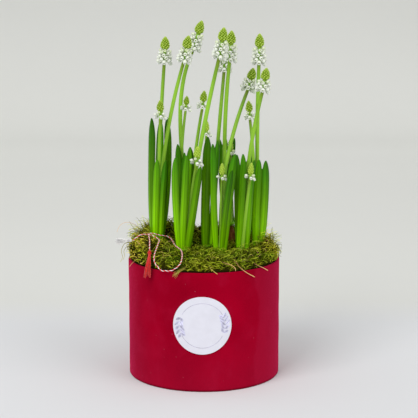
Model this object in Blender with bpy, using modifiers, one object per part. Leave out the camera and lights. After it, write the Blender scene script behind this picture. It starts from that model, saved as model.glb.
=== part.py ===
"""White grape hyacinths growing in a round flower box.

The box is a card tube covered in red velvet, with a card bottom. Potting soil fills it, eight bulbs
stand in sockets in the soil, and a cushion of moss covers them. Each bulb carries a tuft of strap
leaves, and its scapes rise through plain holes in the leaf sheath. Every scape ends in a cone of
green buds over a spiral of white bells. A paper label lies on the box, and a twisted twine with a
tassel at each end lies on the moss.

Lengths in the tables are millimetres; MM turns them into metres. The origin is the centre of the
box's underside, +Z is up, and the label faces -Y.
"""

import math

import bmesh
import bpy
from mathutils import Matrix, Vector, noise
from mathutils.bvhtree import BVHTree

MM = 0.001
GAP = 0.3
WELD = 0.00001

BOX_RADIUS = 71.0
BOX_HEIGHT = 110.0
WALL = 2.5
EDGE_ROUND = 1.0
BOTTOM_THICK = 3.0
BOX_STEPS = 48
INSIDE_RADIUS = BOX_RADIUS - WALL - GAP

SOIL_TOP = 98.0
MOSS_TOP = 120.5
MOSS_REACH = 72.0
MOSS_STEPS = 38
# The moss's top from the middle outwards: the radius of each ring and its height over MOSS_TOP.
MOSS_RINGS = (
    (0, 0), (9, 0), (18, 0), (27, 0), (36, 0), (45, 0), (53, 0), (59, 0), (64.0, -1.0), (68.0, -3.0),
    (70.8, -5.5), (MOSS_REACH, -7.8),
)

LABEL_RADIUS = 26.5
LABEL_CENTRE = (-1.4, 62.0)
LABEL_THICK = 0.6
LABEL_STEPS = 32

BULB_RADIUS = 8.4
BULB_HEIGHT = 20.0
BULB_STEPS = 8
SHEATH_RADIUS = 5.7
SHEATH_FOOT = 0.66
# The hole in the moss over a bulb: its radius at the neck, and how it widens above the sheath.
HOLE_RADIUS = 7.5
HOLE_RISE = 22.0
HOLE_FLARE = 7.0

LEAF_THICK = 0.9
LEAF_CHANNEL = 0.16
LEAF_STATIONS = (0.0, 0.25, 0.5, 0.74, 0.92, 1.0)
LEAF_TIP_START = 0.8
LEAF_TIP_WIDTH = 0.9
LEAF_TURN = 0.5
# How far below the sheath's top a leaf starts.
LEAF_SUNK = 5.0

SCAPE_STATIONS = (0.0, 0.14, 0.34, 0.56, 0.78, 1.0)
SCAPE_FOOT_RADIUS = 1.4
SCAPE_FOOT_SWELL = 1.2
SCAPE_FOOT_CIRCLE = 2.0
RACHIS_RADIUS = 1.2
SLEEVE_RADIUS = 2.5
HEAD_STEPS = 7
# How much of its stem's lean a flower head takes back, from 0, none, to 1, all.
HEAD_LIFT = 0.3
GOLDEN_ANGLE = math.radians(137.508)

# How far the bud cone reaches down among the highest bells, its radius from its foot to its tip as a
# share of the widest, and how deep the dips between its buds are.
HEAD_LAP = 1.4
CONE_STEPS = 8
CONE_PROFILE = (0.0, 1.0, 1.04, 0.93, 0.72, 0.42, 0.0)
CONE_DIP = 0.88

# A bell's height and width from its root to the middle of its mouth, as shares of its length and
# radius, and how far the lowest and the highest bells of a head droop, in degrees.
BELL_STEPS = 4
BELL_HEIGHTS = (0.0, 0.55, 1.0, 0.97)
BELL_WIDTHS = (0.0, 1.0, 0.72, 0.0)
LOW_DROOP = 34.0
HIGH_DROOP = -16.0

# Each stage of a flower head: the whole length above the stem, the length that the bells take, how
# many bells there are, how far they reach from the middle, a bell's radius, the bud cone's radius
# and the radius of the stem under it.
STAGES = {
    "tall": dict(length=29.5, skirt=16.0, bells=14, reach=7.4, bell=2.1, cone=4.1, stem=1.95),
    "open": dict(length=26.0, skirt=13.0, bells=12, reach=7.4, bell=2.1, cone=4.1, stem=1.8),
    "short": dict(length=23.2, skirt=11.0, bells=10, reach=7.4, bell=2.1, cone=4.0, stem=1.85),
    "half": dict(length=19.0, skirt=7.5, bells=6, reach=5.6, bell=1.9, cone=3.3, stem=1.55),
    "small": dict(length=15.5, skirt=6.5, bells=6, reach=4.7, bell=1.65, cone=2.7, stem=1.4),
    "bud": dict(length=17.5, skirt=5.0, bells=5, reach=4.4, bell=1.65, cone=2.8, stem=1.4),
}

# Each plant: where its bulb stands, the top of the bulb, and the top of the leaf sheath.
# A leaf: the side of the sheath that it grows from in degrees (-90 faces the label), its tip,
# its width, and how far its middle bows sideways from a straight line.
# A scape: its number on the sheath, the point where the bells begin, its bow and its stage.
PLANTS = {
    "a": dict(
        at=(-44, 8), neck=116, sheath=127,
        leaves=(
            (-165, (-48.5, 3, 241), 8.5, (-1.4, 0)),
            (-115, (-43.0, -10, 204), 6.5, (-0.5, -1)),
            (-45, (-35.0, -8, 203), 6.5, (-0.5, -1)),
            (50, (-34.5, 18, 240), 7.5, (3.5, 0)),
            (110, (-41.0, 27, 237), 7.0, (0, 2)),
        ),
        scapes=(
            (155, (-36.9, 14, 290), (-1.0, 2.4), "open"),
            (10, (-18.7, 1, 292), (-7.0, 3.0), "open"),
            (-90, (-40.4, -2, 240), (0, -0.5), "half"),
        ),
    ),
    "b": dict(
        at=(-19, -8), neck=112, sheath=121.5,
        leaves=(
            (-145, (-26.3, -14, 206), 7.5, (-2.0, 0)),
            (-105, (-15.5, -19.5, 209), 6.5, (-0.5, -1)),
            (-40, (-2.7, -22, 199), 7.5, (0, -1)),
            (125, (-18.0, 0, 209), 6.0, (-1.0, 0.5)),
            (70, (-13.0, 2, 214), 6.0, (-0.5, 1)),
        ),
        scapes=(
            (60, (13.8, -7, 296), (-3.2, 0), "tall"),
            (-60, (-7.2, -16, 199), (-0.7, 1.2), "half"),
        ),
    ),
    "c": dict(
        at=(-16, 16), neck=113, sheath=123,
        leaves=(
            (-130, (-24.5, 8, 216), 7.0, (-1.0, -1)),
            (-50, (-11.5, 6, 211), 6.5, (0, 0)),
            (80, (-13, 33, 210), 6.5, (0, 2)),
            (115, (-25, 36, 202), 6.5, (-1, 1)),
        ),
        scapes=(
            (120, (-10.3, 26, 302), (-10.0, 1, 2.0), "tall"),
            (-130, (-17.2, 13, 246), (-4.5, 0.5), "small"),
            (0, (-1.8, 18, 247), (-3.0, 1), "half"),
        ),
    ),
    "d": dict(
        at=(3, 7), neck=112, sheath=122,
        leaves=(
            (-115, (3.7, -1, 224), 8.5, (-1.0, -1)),
            (-30, (13.0, 5, 220), 7.0, (0, 0)),
            (110, (2, 27, 207), 6.5, (0, 1)),
        ),
        scapes=(
            (60, (18.9, 36, 281), (0, 0), "open"),
            (180, (2.1, 13, 222), (0.0, 0.5), "bud"),
        ),
    ),
    "e": dict(
        at=(15, -8), neck=112, sheath=121.5,
        leaves=(
            (-155, (8.0, -15, 219), 7.5, (-0.9, 0)),
            (-38, (28.9, -18, 210), 9.0, (-0.8, -0.5)),
            (-70, (26.0, -25, 196), 5.5, (-1.2, 0)),
        ),
        scapes=(
            (20, (40.9, 26, 264), (-9.5, -5.0), "short"),
            (-90, (16.5, -14.5, 185), (-0.1, 2.0), "bud"),
        ),
    ),
    "f": dict(
        at=(24, 31), neck=134, sheath=139,
        leaves=(
            (160, (15.0, 35, 217), 6.5, (-1.0, 1)),
            (45, (29.1, 37, 218), 7.0, (-3.5, 1)),
            (100, (20.5, 45, 218), 6.5, (-2, 2)),
        ),
        scapes=(
            (-150, (23.8, 17, 292), (-3.6, -1), "tall"),
            (-40, (25.3, 30, 202), (0.4, 0.6), "bud"),
        ),
    ),
    "g": dict(
        at=(36, -4), neck=112, sheath=121.5,
        leaves=(
            (160, (30.5, 1, 207), 7.0, (-0.5, 0)),
            (-168, (35.8, -10, 209), 8.0, (0.6, 0)),
            (-6, (46.8, -8, 203), 7.5, (-0.3, 0)),
            (70, (41, 13, 200), 7.0, (0, 1.5)),
        ),
        scapes=(
            (-100, (42.3, -18, 186), (-0.6, -0.9), "bud"),
            (30, (54.0, 2, 265), (-5.5, 0.5), "short"),
        ),
    ),
    "h": dict(
        at=(51, 12), neck=114, sheath=124,
        leaves=(
            (-120, (51.5, 3, 202), 7.5, (-1.5, -1)),
            (-45, (57.6, 3, 201), 7.5, (1.8, 0)),
            (120, (45, 28, 208), 7.0, (-1, 2)),
            (50, (55.5, 27, 190), 6.5, (0.5, 2)),
        ),
        scapes=(
            (60, (51.2, 19, 289), (-1.5, 1), "tall"),
            (-170, (43.0, 13, 238), (2.0, 0), "half"),
        ),
    ),
}

# The twine's route over the moss, seen from above, from the white tassel to the red one. The third
# number lifts it off the moss where it passes over itself.
TWINE_RADIUS = 0.8
TWINE_SPACING = 4.8
TWINE_ROUTE = (
    (-66, -16, 0), (-60, -14.5, 0), (-54, -11, 0), (-49, -7.5, 0), (-45, -7.2, 0), (-42.3, -11, 0),
    (-41.2, -20, 0), (-42.0, -32, 0), (-43.6, -43, 0), (-44.8, -53, 0), (-43.6, -58.6, 0),
    (-40.2, -62.3, 0), (-36.2, -64.8, 0), (-31.9, -66.9, 0.3), (-27.4, -68.9, 1.2), (-23.2, -69.3, 0),
    (-20.4, -65.8, 0), (-19.4, -57, 0), (-20, -38, 0), (-22.8, -22, 0), (-27.2, -9.5, 0.5),
    (-30.2, 0, 1.2), (-34.0, 3.0, 1.6), (-38.5, 0.5, 1.6), (-43, -2.6, 1.6), (-47.5, -4.6, 1.6),
    (-50.8, -9, 1.0), (-51, -15, 0), (-50, -24, 0), (-49.5, -34, 0), (-49.2, -42.5, 0),
)
# The tassels: points along each from its tied head to its cut end. The white one's third number is
# a height over its start. The red one's is a true height where it hangs past the moss, and where it
# still lies on the moss, that rests it instead.
TASSEL_RADII = (1.2, 1.6, 1.1, 1.5, 2.2, 2.5, 2.5)
RED_TASSEL = (
    (-49.2, -42.9, 124), (-49.2, -45.2, 123), (-49.2, -47.6, 121), (-49.4, -51.6, 119),
    (-49.8, -55.7, 116), (-50.4, -56.0, 110.5), (-50.8, -54.9, 103.5),
)
WHITE_TASSEL = (
    (-66.8, -16.1, 0.3), (-68.8, -16.4, 0.6), (-70.6, -16.7, 0.7), (-73, -17, 0.7), (-75.5, -17.3, 0.6),
    (-78.3, -17.7, 0.4), (-81, -18, 0.2),
)

COLOURS = {
    "velvet": ((0.42, 0.004, 0.030), 0.9),
    "card": ((0.30, 0.22, 0.15), 0.9),
    "soil": ((0.045, 0.028, 0.018), 1.0),
    "moss": ((0.17, 0.20, 0.035), 0.95),
    "paper": ((0.80, 0.80, 0.83), 0.6),
    "twine": ((0.75, 0.42, 0.36), 0.8),
    "red_yarn": ((0.55, 0.02, 0.02), 0.8),
    "white_yarn": ((0.80, 0.79, 0.78), 0.8),
    "bulb": ((0.16, 0.07, 0.04), 0.7),
    "leaf": ((0.08, 0.24, 0.02), 0.45),
    "scape": ((0.28, 0.45, 0.08), 0.5),
    "floret": ((0.80, 0.82, 0.72), 0.5),
}


def clear_scene():
    for obj in list(bpy.data.objects):
        bpy.data.objects.remove(obj, do_unlink=True)


def new_collection(name, hidden=False):
    collection = bpy.data.collections.new(name)
    bpy.context.scene.collection.children.link(collection)
    collection.hide_render = hidden
    return collection


def make_materials():
    made = {}
    for name, (colour, roughness) in COLOURS.items():
        material = bpy.data.materials.new(name)
        material.use_nodes = True
        shader = material.node_tree.nodes["Principled BSDF"]
        shader.inputs["Base Color"].default_value = (*colour, 1.0)
        shader.inputs["Roughness"].default_value = roughness
        shader.inputs["Metallic"].default_value = 0.0
        made[name] = material
    return made


def place(name, mesh, collection, material=None):
    """A new object for the mesh, in the collection, in its material."""
    mesh.name = name
    obj = bpy.data.objects.new(name, mesh)
    collection.objects.link(obj)
    if material:
        mesh.materials.clear()
        mesh.materials.append(material)
    return obj


def mesh_from(bm, name):
    mesh = bpy.data.meshes.new(name)
    bm.to_mesh(mesh)
    bm.free()
    return mesh


def evaluated_mesh(obj):
    graph = bpy.context.evaluated_depsgraph_get()
    return bpy.data.meshes.new_from_object(obj.evaluated_get(graph))


def turned_mesh(outline, steps, closed=False):
    """The outline, in millimetres as (radius, height) down its outer side, turned about the Z axis."""
    mesh = bpy.data.meshes.new("outline")
    count = len(outline)
    edges = [(i, (i + 1) % count) for i in range(count if closed else count - 1)]
    mesh.from_pydata([(r * MM, 0.0, z * MM) for r, z in outline], edges, [])
    guide = bpy.data.objects.new("outline", mesh)
    bpy.context.scene.collection.objects.link(guide)
    screw = guide.modifiers.new("Turn", "SCREW")
    screw.steps = screw.render_steps = steps
    screw.use_merge_vertices = True
    screw.merge_threshold = WELD
    turned = evaluated_mesh(guide)
    bpy.data.objects.remove(guide)
    return turned


def tube_mesh(points, radii, resolution):
    """A tube through the points, with a radius for each, made by a bevelled curve."""
    curve = bpy.data.curves.new("tube", "CURVE")
    curve.dimensions = "3D"
    curve.bevel_depth = 1.0
    curve.bevel_resolution = resolution
    curve.use_fill_caps = True
    spline = curve.splines.new("POLY")
    spline.points.add(len(points) - 1)
    for point, centre, radius in zip(spline.points, points, radii):
        point.co = (*centre, 1.0)
        point.radius = radius * MM
    guide = bpy.data.objects.new("tube", curve)
    bpy.context.scene.collection.objects.link(guide)
    bpy.context.view_layer.update()
    mesh = evaluated_mesh(guide)
    bpy.data.objects.remove(guide)
    bm = bmesh.new()
    bm.from_mesh(mesh)
    bmesh.ops.remove_doubles(bm, verts=bm.verts, dist=WELD)
    bmesh.ops.recalc_face_normals(bm, faces=bm.faces)
    bm.to_mesh(mesh)
    bm.free()
    return mesh


def combine(obj, operation, collection):
    """One Boolean of the object with all the collection's objects, applied; then they are removed."""
    modifier = obj.modifiers.new(operation.title(), "BOOLEAN")
    modifier.operation = operation
    modifier.operand_type = "COLLECTION"
    modifier.collection = collection
    modifier.solver = "MANIFOLD"
    bpy.context.view_layer.update()
    mesh = evaluated_mesh(obj)
    obj.modifiers.clear()
    obj.data = mesh
    for used in list(collection.objects):
        bpy.data.objects.remove(used)
    bpy.data.collections.remove(collection)
    return obj


def smooth(obj, angle=40.0):
    obj.data.shade_smooth()
    obj.data.set_sharp_from_angle(angle=math.radians(angle))


def bowed(foot, end, bow, t):
    """A point on the stem or leaf that runs from foot to end, t from 0 to 1, bowed in its middle.

    A third number in the bow, above 1, moves the bow up towards the end.
    """
    late = t ** (bow[2] if len(bow) > 2 else 1.0)
    side = Vector((bow[0], bow[1], 0.0)) * (4.0 * late * (1.0 - late))
    return foot.lerp(end, t) + side


def bowed_direction(foot, end, bow, t):
    power = bow[2] if len(bow) > 2 else 1.0
    rate = power * t ** (power - 1.0) * (4.0 - 8.0 * t ** power)
    return (end - foot + Vector((bow[0], bow[1], 0.0)) * rate).normalized()


def make_box_wall(parts, materials):
    e = EDGE_ROUND
    corner = e * (1.0 - math.sqrt(0.5))
    outer, inner, top = BOX_RADIUS, BOX_RADIUS - WALL, BOX_HEIGHT
    outline = [
        (outer - e, top), (outer - corner, top - corner), (outer, top - e),
        (outer, 0.5 * e), (outer - 0.5 * e, 0.0), (inner, 0.0), (inner, top),
    ]
    wall = place("box_wall", turned_mesh(outline, BOX_STEPS, closed=True), parts, materials["velvet"])
    smooth(wall)


def make_box_bottom(parts, materials):
    radius = INSIDE_RADIUS
    outline = [(0, BOTTOM_THICK), (radius, BOTTOM_THICK), (radius, 0), (0, 0)]
    smooth(place("box_bottom", turned_mesh(outline, BOX_STEPS), parts, materials["card"]))


def make_label(parts, materials):
    """A round paper label, cut from a ring that fits the wall by a round bar that points at it."""
    inner = BOX_RADIUS + GAP
    outer = inner + LABEL_THICK
    x, z = LABEL_CENTRE
    low, high = z - LABEL_RADIUS - 1.0, z + LABEL_RADIUS + 1.0
    ring = turned_mesh([(outer, high), (outer, low), (inner, low), (inner, high)], BOX_STEPS, True)
    label = place("label", ring, parts, materials["paper"])
    cutters = new_collection("label_cutters")
    bm = bmesh.new()
    depth = BOX_RADIUS * MM
    turn = Matrix.Translation((x * MM, -depth, z * MM)) @ Matrix.Rotation(math.pi / 2, 4, "X")
    bmesh.ops.create_cone(
        bm, cap_ends=True, segments=LABEL_STEPS, radius1=LABEL_RADIUS * MM, radius2=LABEL_RADIUS * MM,
        depth=depth, matrix=turn,
    )
    place("label_bar", mesh_from(bm, "label_bar"), cutters)
    combine(label, "INTERSECT", cutters)
    smooth(label)


def bulb_outline(grow=0.0):
    """The bulb's half outline from its neck down, its top at height 0, made larger all round by grow."""
    r, h = BULB_RADIUS, BULB_HEIGHT
    outline = [
        (0.0, 0.0), (0.40 * r, 0.0), (0.44 * r, -0.14 * h), (0.80 * r, -0.36 * h),
        (r, -0.62 * h), (0.86 * r, -0.84 * h), (0.45 * r, -h), (0.0, -h),
    ]
    if not grow:
        return outline
    lowest = len(outline) - 2
    return [
        (radius + grow if radius else 0.0, z - grow if i >= lowest else z)
        for i, (radius, z) in enumerate(outline)
    ]


def make_bulb(key, plant, parts, materials):
    mesh = turned_mesh(bulb_outline(), BULB_STEPS)
    bulb = place("bulb_" + key, mesh, parts, materials["bulb"])
    bulb.location = Vector((*plant["at"], plant["neck"])) * MM
    smooth(bulb, 60)


def bulb_socket(key, plant, cutters):
    """The room for a bulb and, above it, for the sheath and the feet of the leaves."""
    above = plant["sheath"] - plant["neck"]
    top = above + HOLE_RISE
    chimney = [
        (0.0, top), (HOLE_RADIUS + HOLE_FLARE, top), (HOLE_RADIUS + 2.0 * GAP, above), (HOLE_RADIUS, 0.0),
    ]
    outline = chimney + bulb_outline(GAP)[3:]
    socket = place("socket_" + key, turned_mesh(outline, BULB_STEPS), cutters)
    socket.location = Vector((*plant["at"], plant["neck"])) * MM


def make_soil(parts, materials):
    bottom = BOTTOM_THICK + GAP
    outline = [(0, SOIL_TOP), (INSIDE_RADIUS, SOIL_TOP), (INSIDE_RADIUS, bottom), (0, bottom)]
    soil = place("soil", turned_mesh(outline, BOX_STEPS), parts, materials["soil"])
    sockets = new_collection("soil_sockets")
    for key, plant in PLANTS.items():
        bulb_socket(key, plant, sockets)
    combine(soil, "DIFFERENCE", sockets)
    smooth(soil)


def moss_rise(x, y):
    """How much higher than MOSS_TOP the moss stands at a point, in millimetres."""
    radius = math.hypot(x, y)
    left = 7.5 * max(0.0, min(1.0, (-x - 22.0) / 24.0)) * max(0.0, min(1.0, (y + 60.0) / 40.0))
    front = max(0.0, min(1.0, (-y - 10.0) / 30.0))
    rim = 5.0 * math.exp(-(((radius - 60.0) / 11.0) ** 2)) * (1.0 - 1.1 * front)
    back = 4.0 * max(0.0, min(1.0, (y - 22.0) / 25.0))
    lumps = 2.4 * noise.noise(Vector((x, y, 3.0)) / 11.0) + 1.3 * noise.noise(Vector((x, y, 9.0)) / 5.0)
    return left + rim + back + lumps


def make_moss(parts, materials):
    """A turned cushion, raised into lumps by moss_rise, with a socket for every plant."""
    outline = [(radius, MOSS_TOP + z) for radius, z in MOSS_RINGS]
    outline += [(MOSS_REACH - 0.6, BOX_HEIGHT + 1.4)]
    outline += [(BOX_RADIUS - 0.8, BOX_HEIGHT + 0.5), (INSIDE_RADIUS, BOX_HEIGHT + 0.5)]
    outline += [(INSIDE_RADIUS, SOIL_TOP + GAP), (0, SOIL_TOP + GAP)]
    mesh = turned_mesh(outline, MOSS_STEPS)
    lowest_free = BOX_HEIGHT + 1.0
    for vertex in mesh.vertices:
        x, y, z = vertex.co / MM
        if z <= lowest_free:
            continue
        share = min(1.0, (z - lowest_free) / (MOSS_TOP - lowest_free))
        swell = 1.0 + 0.035 * share * noise.noise(Vector((x, y, z)) / 7.0)
        vertex.co = Vector((x * swell, y * swell, z + share * moss_rise(x, y))) * MM
    moss = place("moss", mesh, parts, materials["moss"])
    sockets = new_collection("moss_sockets")
    for key, plant in PLANTS.items():
        bulb_socket(key, plant, sockets)
    combine(moss, "DIFFERENCE", sockets)
    smooth(moss, 60)
    return moss


def leaf_width(width, t):
    """Narrow at the foot, full from a third of the way up, and rounded off to a blunt point."""
    foot = min(1.0, 0.72 + 1.2 * t)
    if t <= LEAF_TIP_START:
        return width * foot
    along = (t - LEAF_TIP_START) / (1.0 - LEAF_TIP_START)
    return max(LEAF_TIP_WIDTH, width * math.sqrt(max(0.0, 1.0 - along * along)))


def leaf_mesh(foot, side, tip, width, bow):
    """A channelled strap, open to the middle of its plant: a narrow grid bent along a curve.

    Leaves that grow from the left or right of a sheath turn half their face to the front or back.
    """
    rows = len(LEAF_STATIONS) - 1
    bm = bmesh.new()
    bmesh.ops.create_grid(bm, x_segments=2, y_segments=rows, size=1.0)
    straight = math.copysign(math.pi / 2.0, side)
    facing = straight + LEAF_TURN * (side - straight)
    across = Vector((-math.sin(facing), math.cos(facing), 0.0))
    for vertex in bm.verts:
        s = round(vertex.co.x)
        t = LEAF_STATIONS[round((vertex.co.y + 1.0) / 2.0 * rows)]
        along = bowed_direction(foot, tip, bow, t)
        wide = (across - along * across.dot(along)).normalized()
        inward = along.cross(wide)
        half = leaf_width(width, t) / 2.0
        point = bowed(foot, tip, bow, t) + wide * (s * half)
        vertex.co = (point + inward * (abs(s) * half * 2.0 * LEAF_CHANNEL)) * MM
    bmesh.ops.triangulate(bm, faces=bm.faces)
    return mesh_from(bm, "leaf")


def scape_foot(plant, angle):
    x, y = plant["at"]
    side = math.radians(angle)
    reach = SCAPE_FOOT_CIRCLE
    return Vector((x + reach * math.cos(side), y + reach * math.sin(side), plant["neck"] + 2.0 * GAP))


def scape_path(plant, angle, neck, bow):
    foot = scape_foot(plant, angle)
    return foot, Vector(neck), [bowed(foot, Vector(neck), bow, t) for t in SCAPE_STATIONS]


def make_leaves(key, plant, parts, materials):
    """A plant's leaves, joined by the sheath at their feet. Its scapes stand in holes in the sheath."""
    x, y = plant["at"]
    low, high = plant["neck"] + GAP, plant["sheath"]
    leaves = new_collection("leaf_tuft")
    for angle, tip, width, bow in plant["leaves"]:
        side = math.radians(angle)
        reach = SHEATH_RADIUS - 1.0
        level = max(high - LEAF_SUNK, low + 1.2)
        foot = Vector((x + reach * math.cos(side), y + reach * math.sin(side), level))
        leaf = place("leaf", leaf_mesh(foot, side, Vector(tip), width, bow), leaves)
        skin = leaf.modifiers.new("Thickness", "SOLIDIFY")
        skin.thickness = LEAF_THICK * MM
        skin.offset = 0.0
    r = SHEATH_RADIUS
    outline = [(0, high), (r - 0.8, high), (r, high - 2.0), (SHEATH_FOOT * r, low), (0, low)]
    sheath = place("leaves_" + key, turned_mesh(outline, BULB_STEPS), parts, materials["leaf"])
    sheath.location = Vector((x, y, 0.0)) * MM
    bpy.context.view_layer.update()
    sheath.data.transform(sheath.matrix_world)
    sheath.location = (0.0, 0.0, 0.0)
    combine(sheath, "UNION", leaves)
    holes = new_collection("scape_holes")
    for angle, neck, bow, _ in plant["scapes"]:
        foot, end, points = scape_path(plant, angle, neck, bow)
        start = foot - bowed_direction(foot, end, bow, 0.0) * 3.0
        radius = SCAPE_FOOT_SWELL * SCAPE_FOOT_RADIUS + GAP + 0.1
        place("hole", tube_mesh([start * MM, points[1] * MM], [radius, radius], 1), holes)
    combine(sheath, "DIFFERENCE", holes)
    smooth(sheath, 50)


def ring_number(vertex, bands):
    """Which ring of a sphere of that many bands the vertex is in, counted from its lowest point."""
    return round((1.0 - math.acos(max(-1.0, min(1.0, vertex.co.z))) / math.pi) * bands)


def outwards(vertex):
    """The level direction from the sphere's axis to the vertex, or nothing at its two ends."""
    flat = Vector((vertex.co.x, vertex.co.y, 0.0))
    return flat.normalized() if flat.length > 1e-6 else flat


def bud_cone_mesh(stage):
    """The cone of closed buds: an egg whose surface swells and sinks from one bud to the next."""
    low, high = stage["skirt"] - HEAD_LAP + GAP, stage["length"]
    bands = len(CONE_PROFILE) - 1
    bm = bmesh.new()
    bmesh.ops.create_uvsphere(bm, u_segments=CONE_STEPS, v_segments=bands, radius=1.0)
    for vertex in bm.verts:
        ring = ring_number(vertex, bands)
        turn = round(math.atan2(vertex.co.y, vertex.co.x) / (2.0 * math.pi) * CONE_STEPS)
        radius = stage["cone"] * CONE_PROFILE[ring]
        relief = 1.0 if (ring + turn) % 2 else CONE_DIP
        height = low + ring / bands * (high - low)
        vertex.co = (outwards(vertex) * radius * relief + Vector((0, 0, height))) * MM
    return mesh_from(bm, "bud_cone")


def bell_mesh(length, radius):
    """One bell along +Z from its root: narrow, then full, then drawn in at its mouth."""
    bands = len(BELL_HEIGHTS) - 1
    bm = bmesh.new()
    bmesh.ops.create_uvsphere(bm, u_segments=BELL_STEPS, v_segments=bands, radius=1.0)
    for vertex in bm.verts:
        ring = ring_number(vertex, bands)
        flat = outwards(vertex) * (BELL_WIDTHS[ring] * radius)
        vertex.co = (flat + Vector((0, 0, BELL_HEIGHTS[ring] * length))) * MM
    return mesh_from(bm, "bell")


def head_frame(plant, scape):
    """Where the bells begin on a scape, with the head's direction as +Z: it stands up a little again."""
    angle, neck, bow, _ = scape
    foot = scape_foot(plant, angle)
    up = Vector((0, 0, 1))
    along = bowed_direction(foot, Vector(neck), bow, 1.0).lerp(up, HEAD_LIFT)
    turn = up.rotation_difference(along).to_matrix().to_4x4()
    return Matrix.Translation(Vector(neck) * MM) @ turn


def make_scape(name, plant, scape, parts, materials):
    """A stem with the rachis on top of it and the cone of green buds at the end."""
    angle, neck, bow, stage_name = scape
    stage = STAGES[stage_name]
    _, _, points = scape_path(plant, angle, neck, bow)
    frame = head_frame(plant, scape)
    route = [p * MM for p in points]
    route += [frame @ Vector((0, 0, z * MM)) for z in (1.0, stage["skirt"])]
    stem = stage["stem"]
    foot = SCAPE_FOOT_RADIUS
    swell = (foot, SCAPE_FOOT_SWELL * foot, 0.96 * stem, stem, stem, 0.86 * stem)
    mesh = tube_mesh(route, [*swell, RACHIS_RADIUS, RACHIS_RADIUS], 1)
    obj = place("scape_" + name, mesh, parts, materials["scape"])
    cones = new_collection("bud_cones")
    cone = place("bud_cone", bud_cone_mesh(stage), cones)
    cone.matrix_world = frame
    combine(obj, "UNION", cones)
    smooth(obj, 50)


def make_florets(name, plant, scape, parts, materials):
    """The white bells of one head, in a spiral round the rachis, joined by a thin sleeve on it."""
    stage = STAGES[scape[3]]
    frame = head_frame(plant, scape)
    low, high = 1.0 + GAP, stage["skirt"] - HEAD_LAP
    sleeve = [(0, high), (SLEEVE_RADIUS, high), (SLEEVE_RADIUS, low), (0, low)]
    obj = place("florets_" + name, turned_mesh(sleeve, HEAD_STEPS), parts, materials["floret"])
    bells = new_collection("bells")
    count = stage["bells"]
    root = SLEEVE_RADIUS - 0.7
    for i in range(count):
        share = i / (count - 1)
        height = low + 0.8 * stage["bell"] + share * (high - low - 1.3 * stage["bell"])
        droop = math.radians(LOW_DROOP + (HIGH_DROOP - LOW_DROOP) * share)
        out = Matrix.Rotation(i * GOLDEN_ANGLE, 4, "Z") @ Matrix.Rotation(math.pi / 2 + droop, 4, "Y")
        length = (stage["reach"] - root) * (1.1 - 0.18 * share)
        bell = place("bell", bell_mesh(length, stage["bell"]), bells)
        start = Matrix.Rotation(i * GOLDEN_ANGLE, 4, "Z") @ Vector((root * MM, 0, height * MM))
        bell.matrix_world = Matrix.Translation(start) @ out
    combine(obj, "UNION", bells)
    bores = new_collection("rachis_bores")
    radius = RACHIS_RADIUS + GAP
    bore = [(0, high + 2), (radius, high + 2), (radius, low - 2), (0, low - 2)]
    place("rachis_bore", turned_mesh(bore, HEAD_STEPS), bores)
    combine(obj, "DIFFERENCE", bores)
    obj.matrix_world = frame
    smooth(obj, 50)


def smooth_route(points, spacing):
    """Points about that far apart, evenly, on the smooth curve through the given ones."""
    dense = []
    count, steps = len(points), 16
    for i in range(count - 1):
        before, a, b, after = (points[max(0, min(count - 1, i + k))] for k in (-1, 0, 1, 2))
        for step in range(steps):
            t = step / steps
            dense.append(0.5 * (
                2 * a + (b - before) * t + (2 * before - 5 * a + 4 * b - after) * t ** 2
                + (3 * a - before - 3 * b + after) * t ** 3
            ))
    dense.append(points[-1])
    lengths = [0.0]
    for a, b in zip(dense, dense[1:]):
        lengths.append(lengths[-1] + (b - a).length)
    pieces = round(lengths[-1] / spacing)
    route, k = [], 0
    for i in range(pieces + 1):
        at = lengths[-1] * i / pieces
        while k < len(dense) - 2 and lengths[k + 1] < at:
            k += 1
        share = (at - lengths[k]) / (lengths[k + 1] - lengths[k])
        route.append(dense[k].lerp(dense[k + 1], share))
    return route


def moss_surface(moss):
    """A function that gives the height of the moss, in millimetres, under a round patch of twine."""
    graph = bpy.context.evaluated_depsgraph_get()
    tree = BVHTree.FromObject(moss, graph)
    ring = [Vector((math.cos(a), math.sin(a), 0.0)) for a in (0.0, 1.05, 2.09, 3.14, 4.19, 5.24)]

    def height(x, y):
        found = []
        for reach in (0.0, 1.0, 2.2):
            for side in ring:
                start = Vector((x, y, 200.0)) + side * reach
                hit = tree.ray_cast(start * MM, Vector((0, 0, -1)))[0]
                found.append(hit.z / MM if hit else BOX_HEIGHT)
        return max(found)

    return height


def make_twine(moss, parts, materials):
    """The twine on the moss. It returns its route for the tassels at its ends."""
    height = moss_surface(moss)
    seat = TWINE_RADIUS + GAP
    through = [Vector((x, y, height(x, y) + seat + lift)) for x, y, lift in TWINE_ROUTE]
    route = smooth_route(through, TWINE_SPACING)
    for point in route:
        point.z = max(point.z, height(point.x, point.y) + seat)
    radii = [TWINE_RADIUS] * len(route)
    place("twine", tube_mesh([p * MM for p in route], radii, 2), parts, materials["twine"])
    return route


def make_tassel(name, points, parts, material):
    """A tassel: a tied head, a waist, and threads that spread to a flat cut end."""
    mesh = tube_mesh([p * MM for p in points], TASSEL_RADII, 2)
    smooth(place(name, mesh, parts, material), 60)


def make_red_tassel(moss, parts, materials):
    """Its head lies on the moss, and its threads hang over the rim, in front of the velvet."""
    height = moss_surface(moss)
    points = []
    for (x, y, z), radius in zip(RED_TASSEL, TASSEL_RADII):
        inside = math.hypot(x, y) < MOSS_REACH
        points.append(Vector((x, y, height(x, y) + radius + GAP if inside else z)))
    make_tassel("tassel_red", points, parts, materials["red_yarn"])


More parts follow.
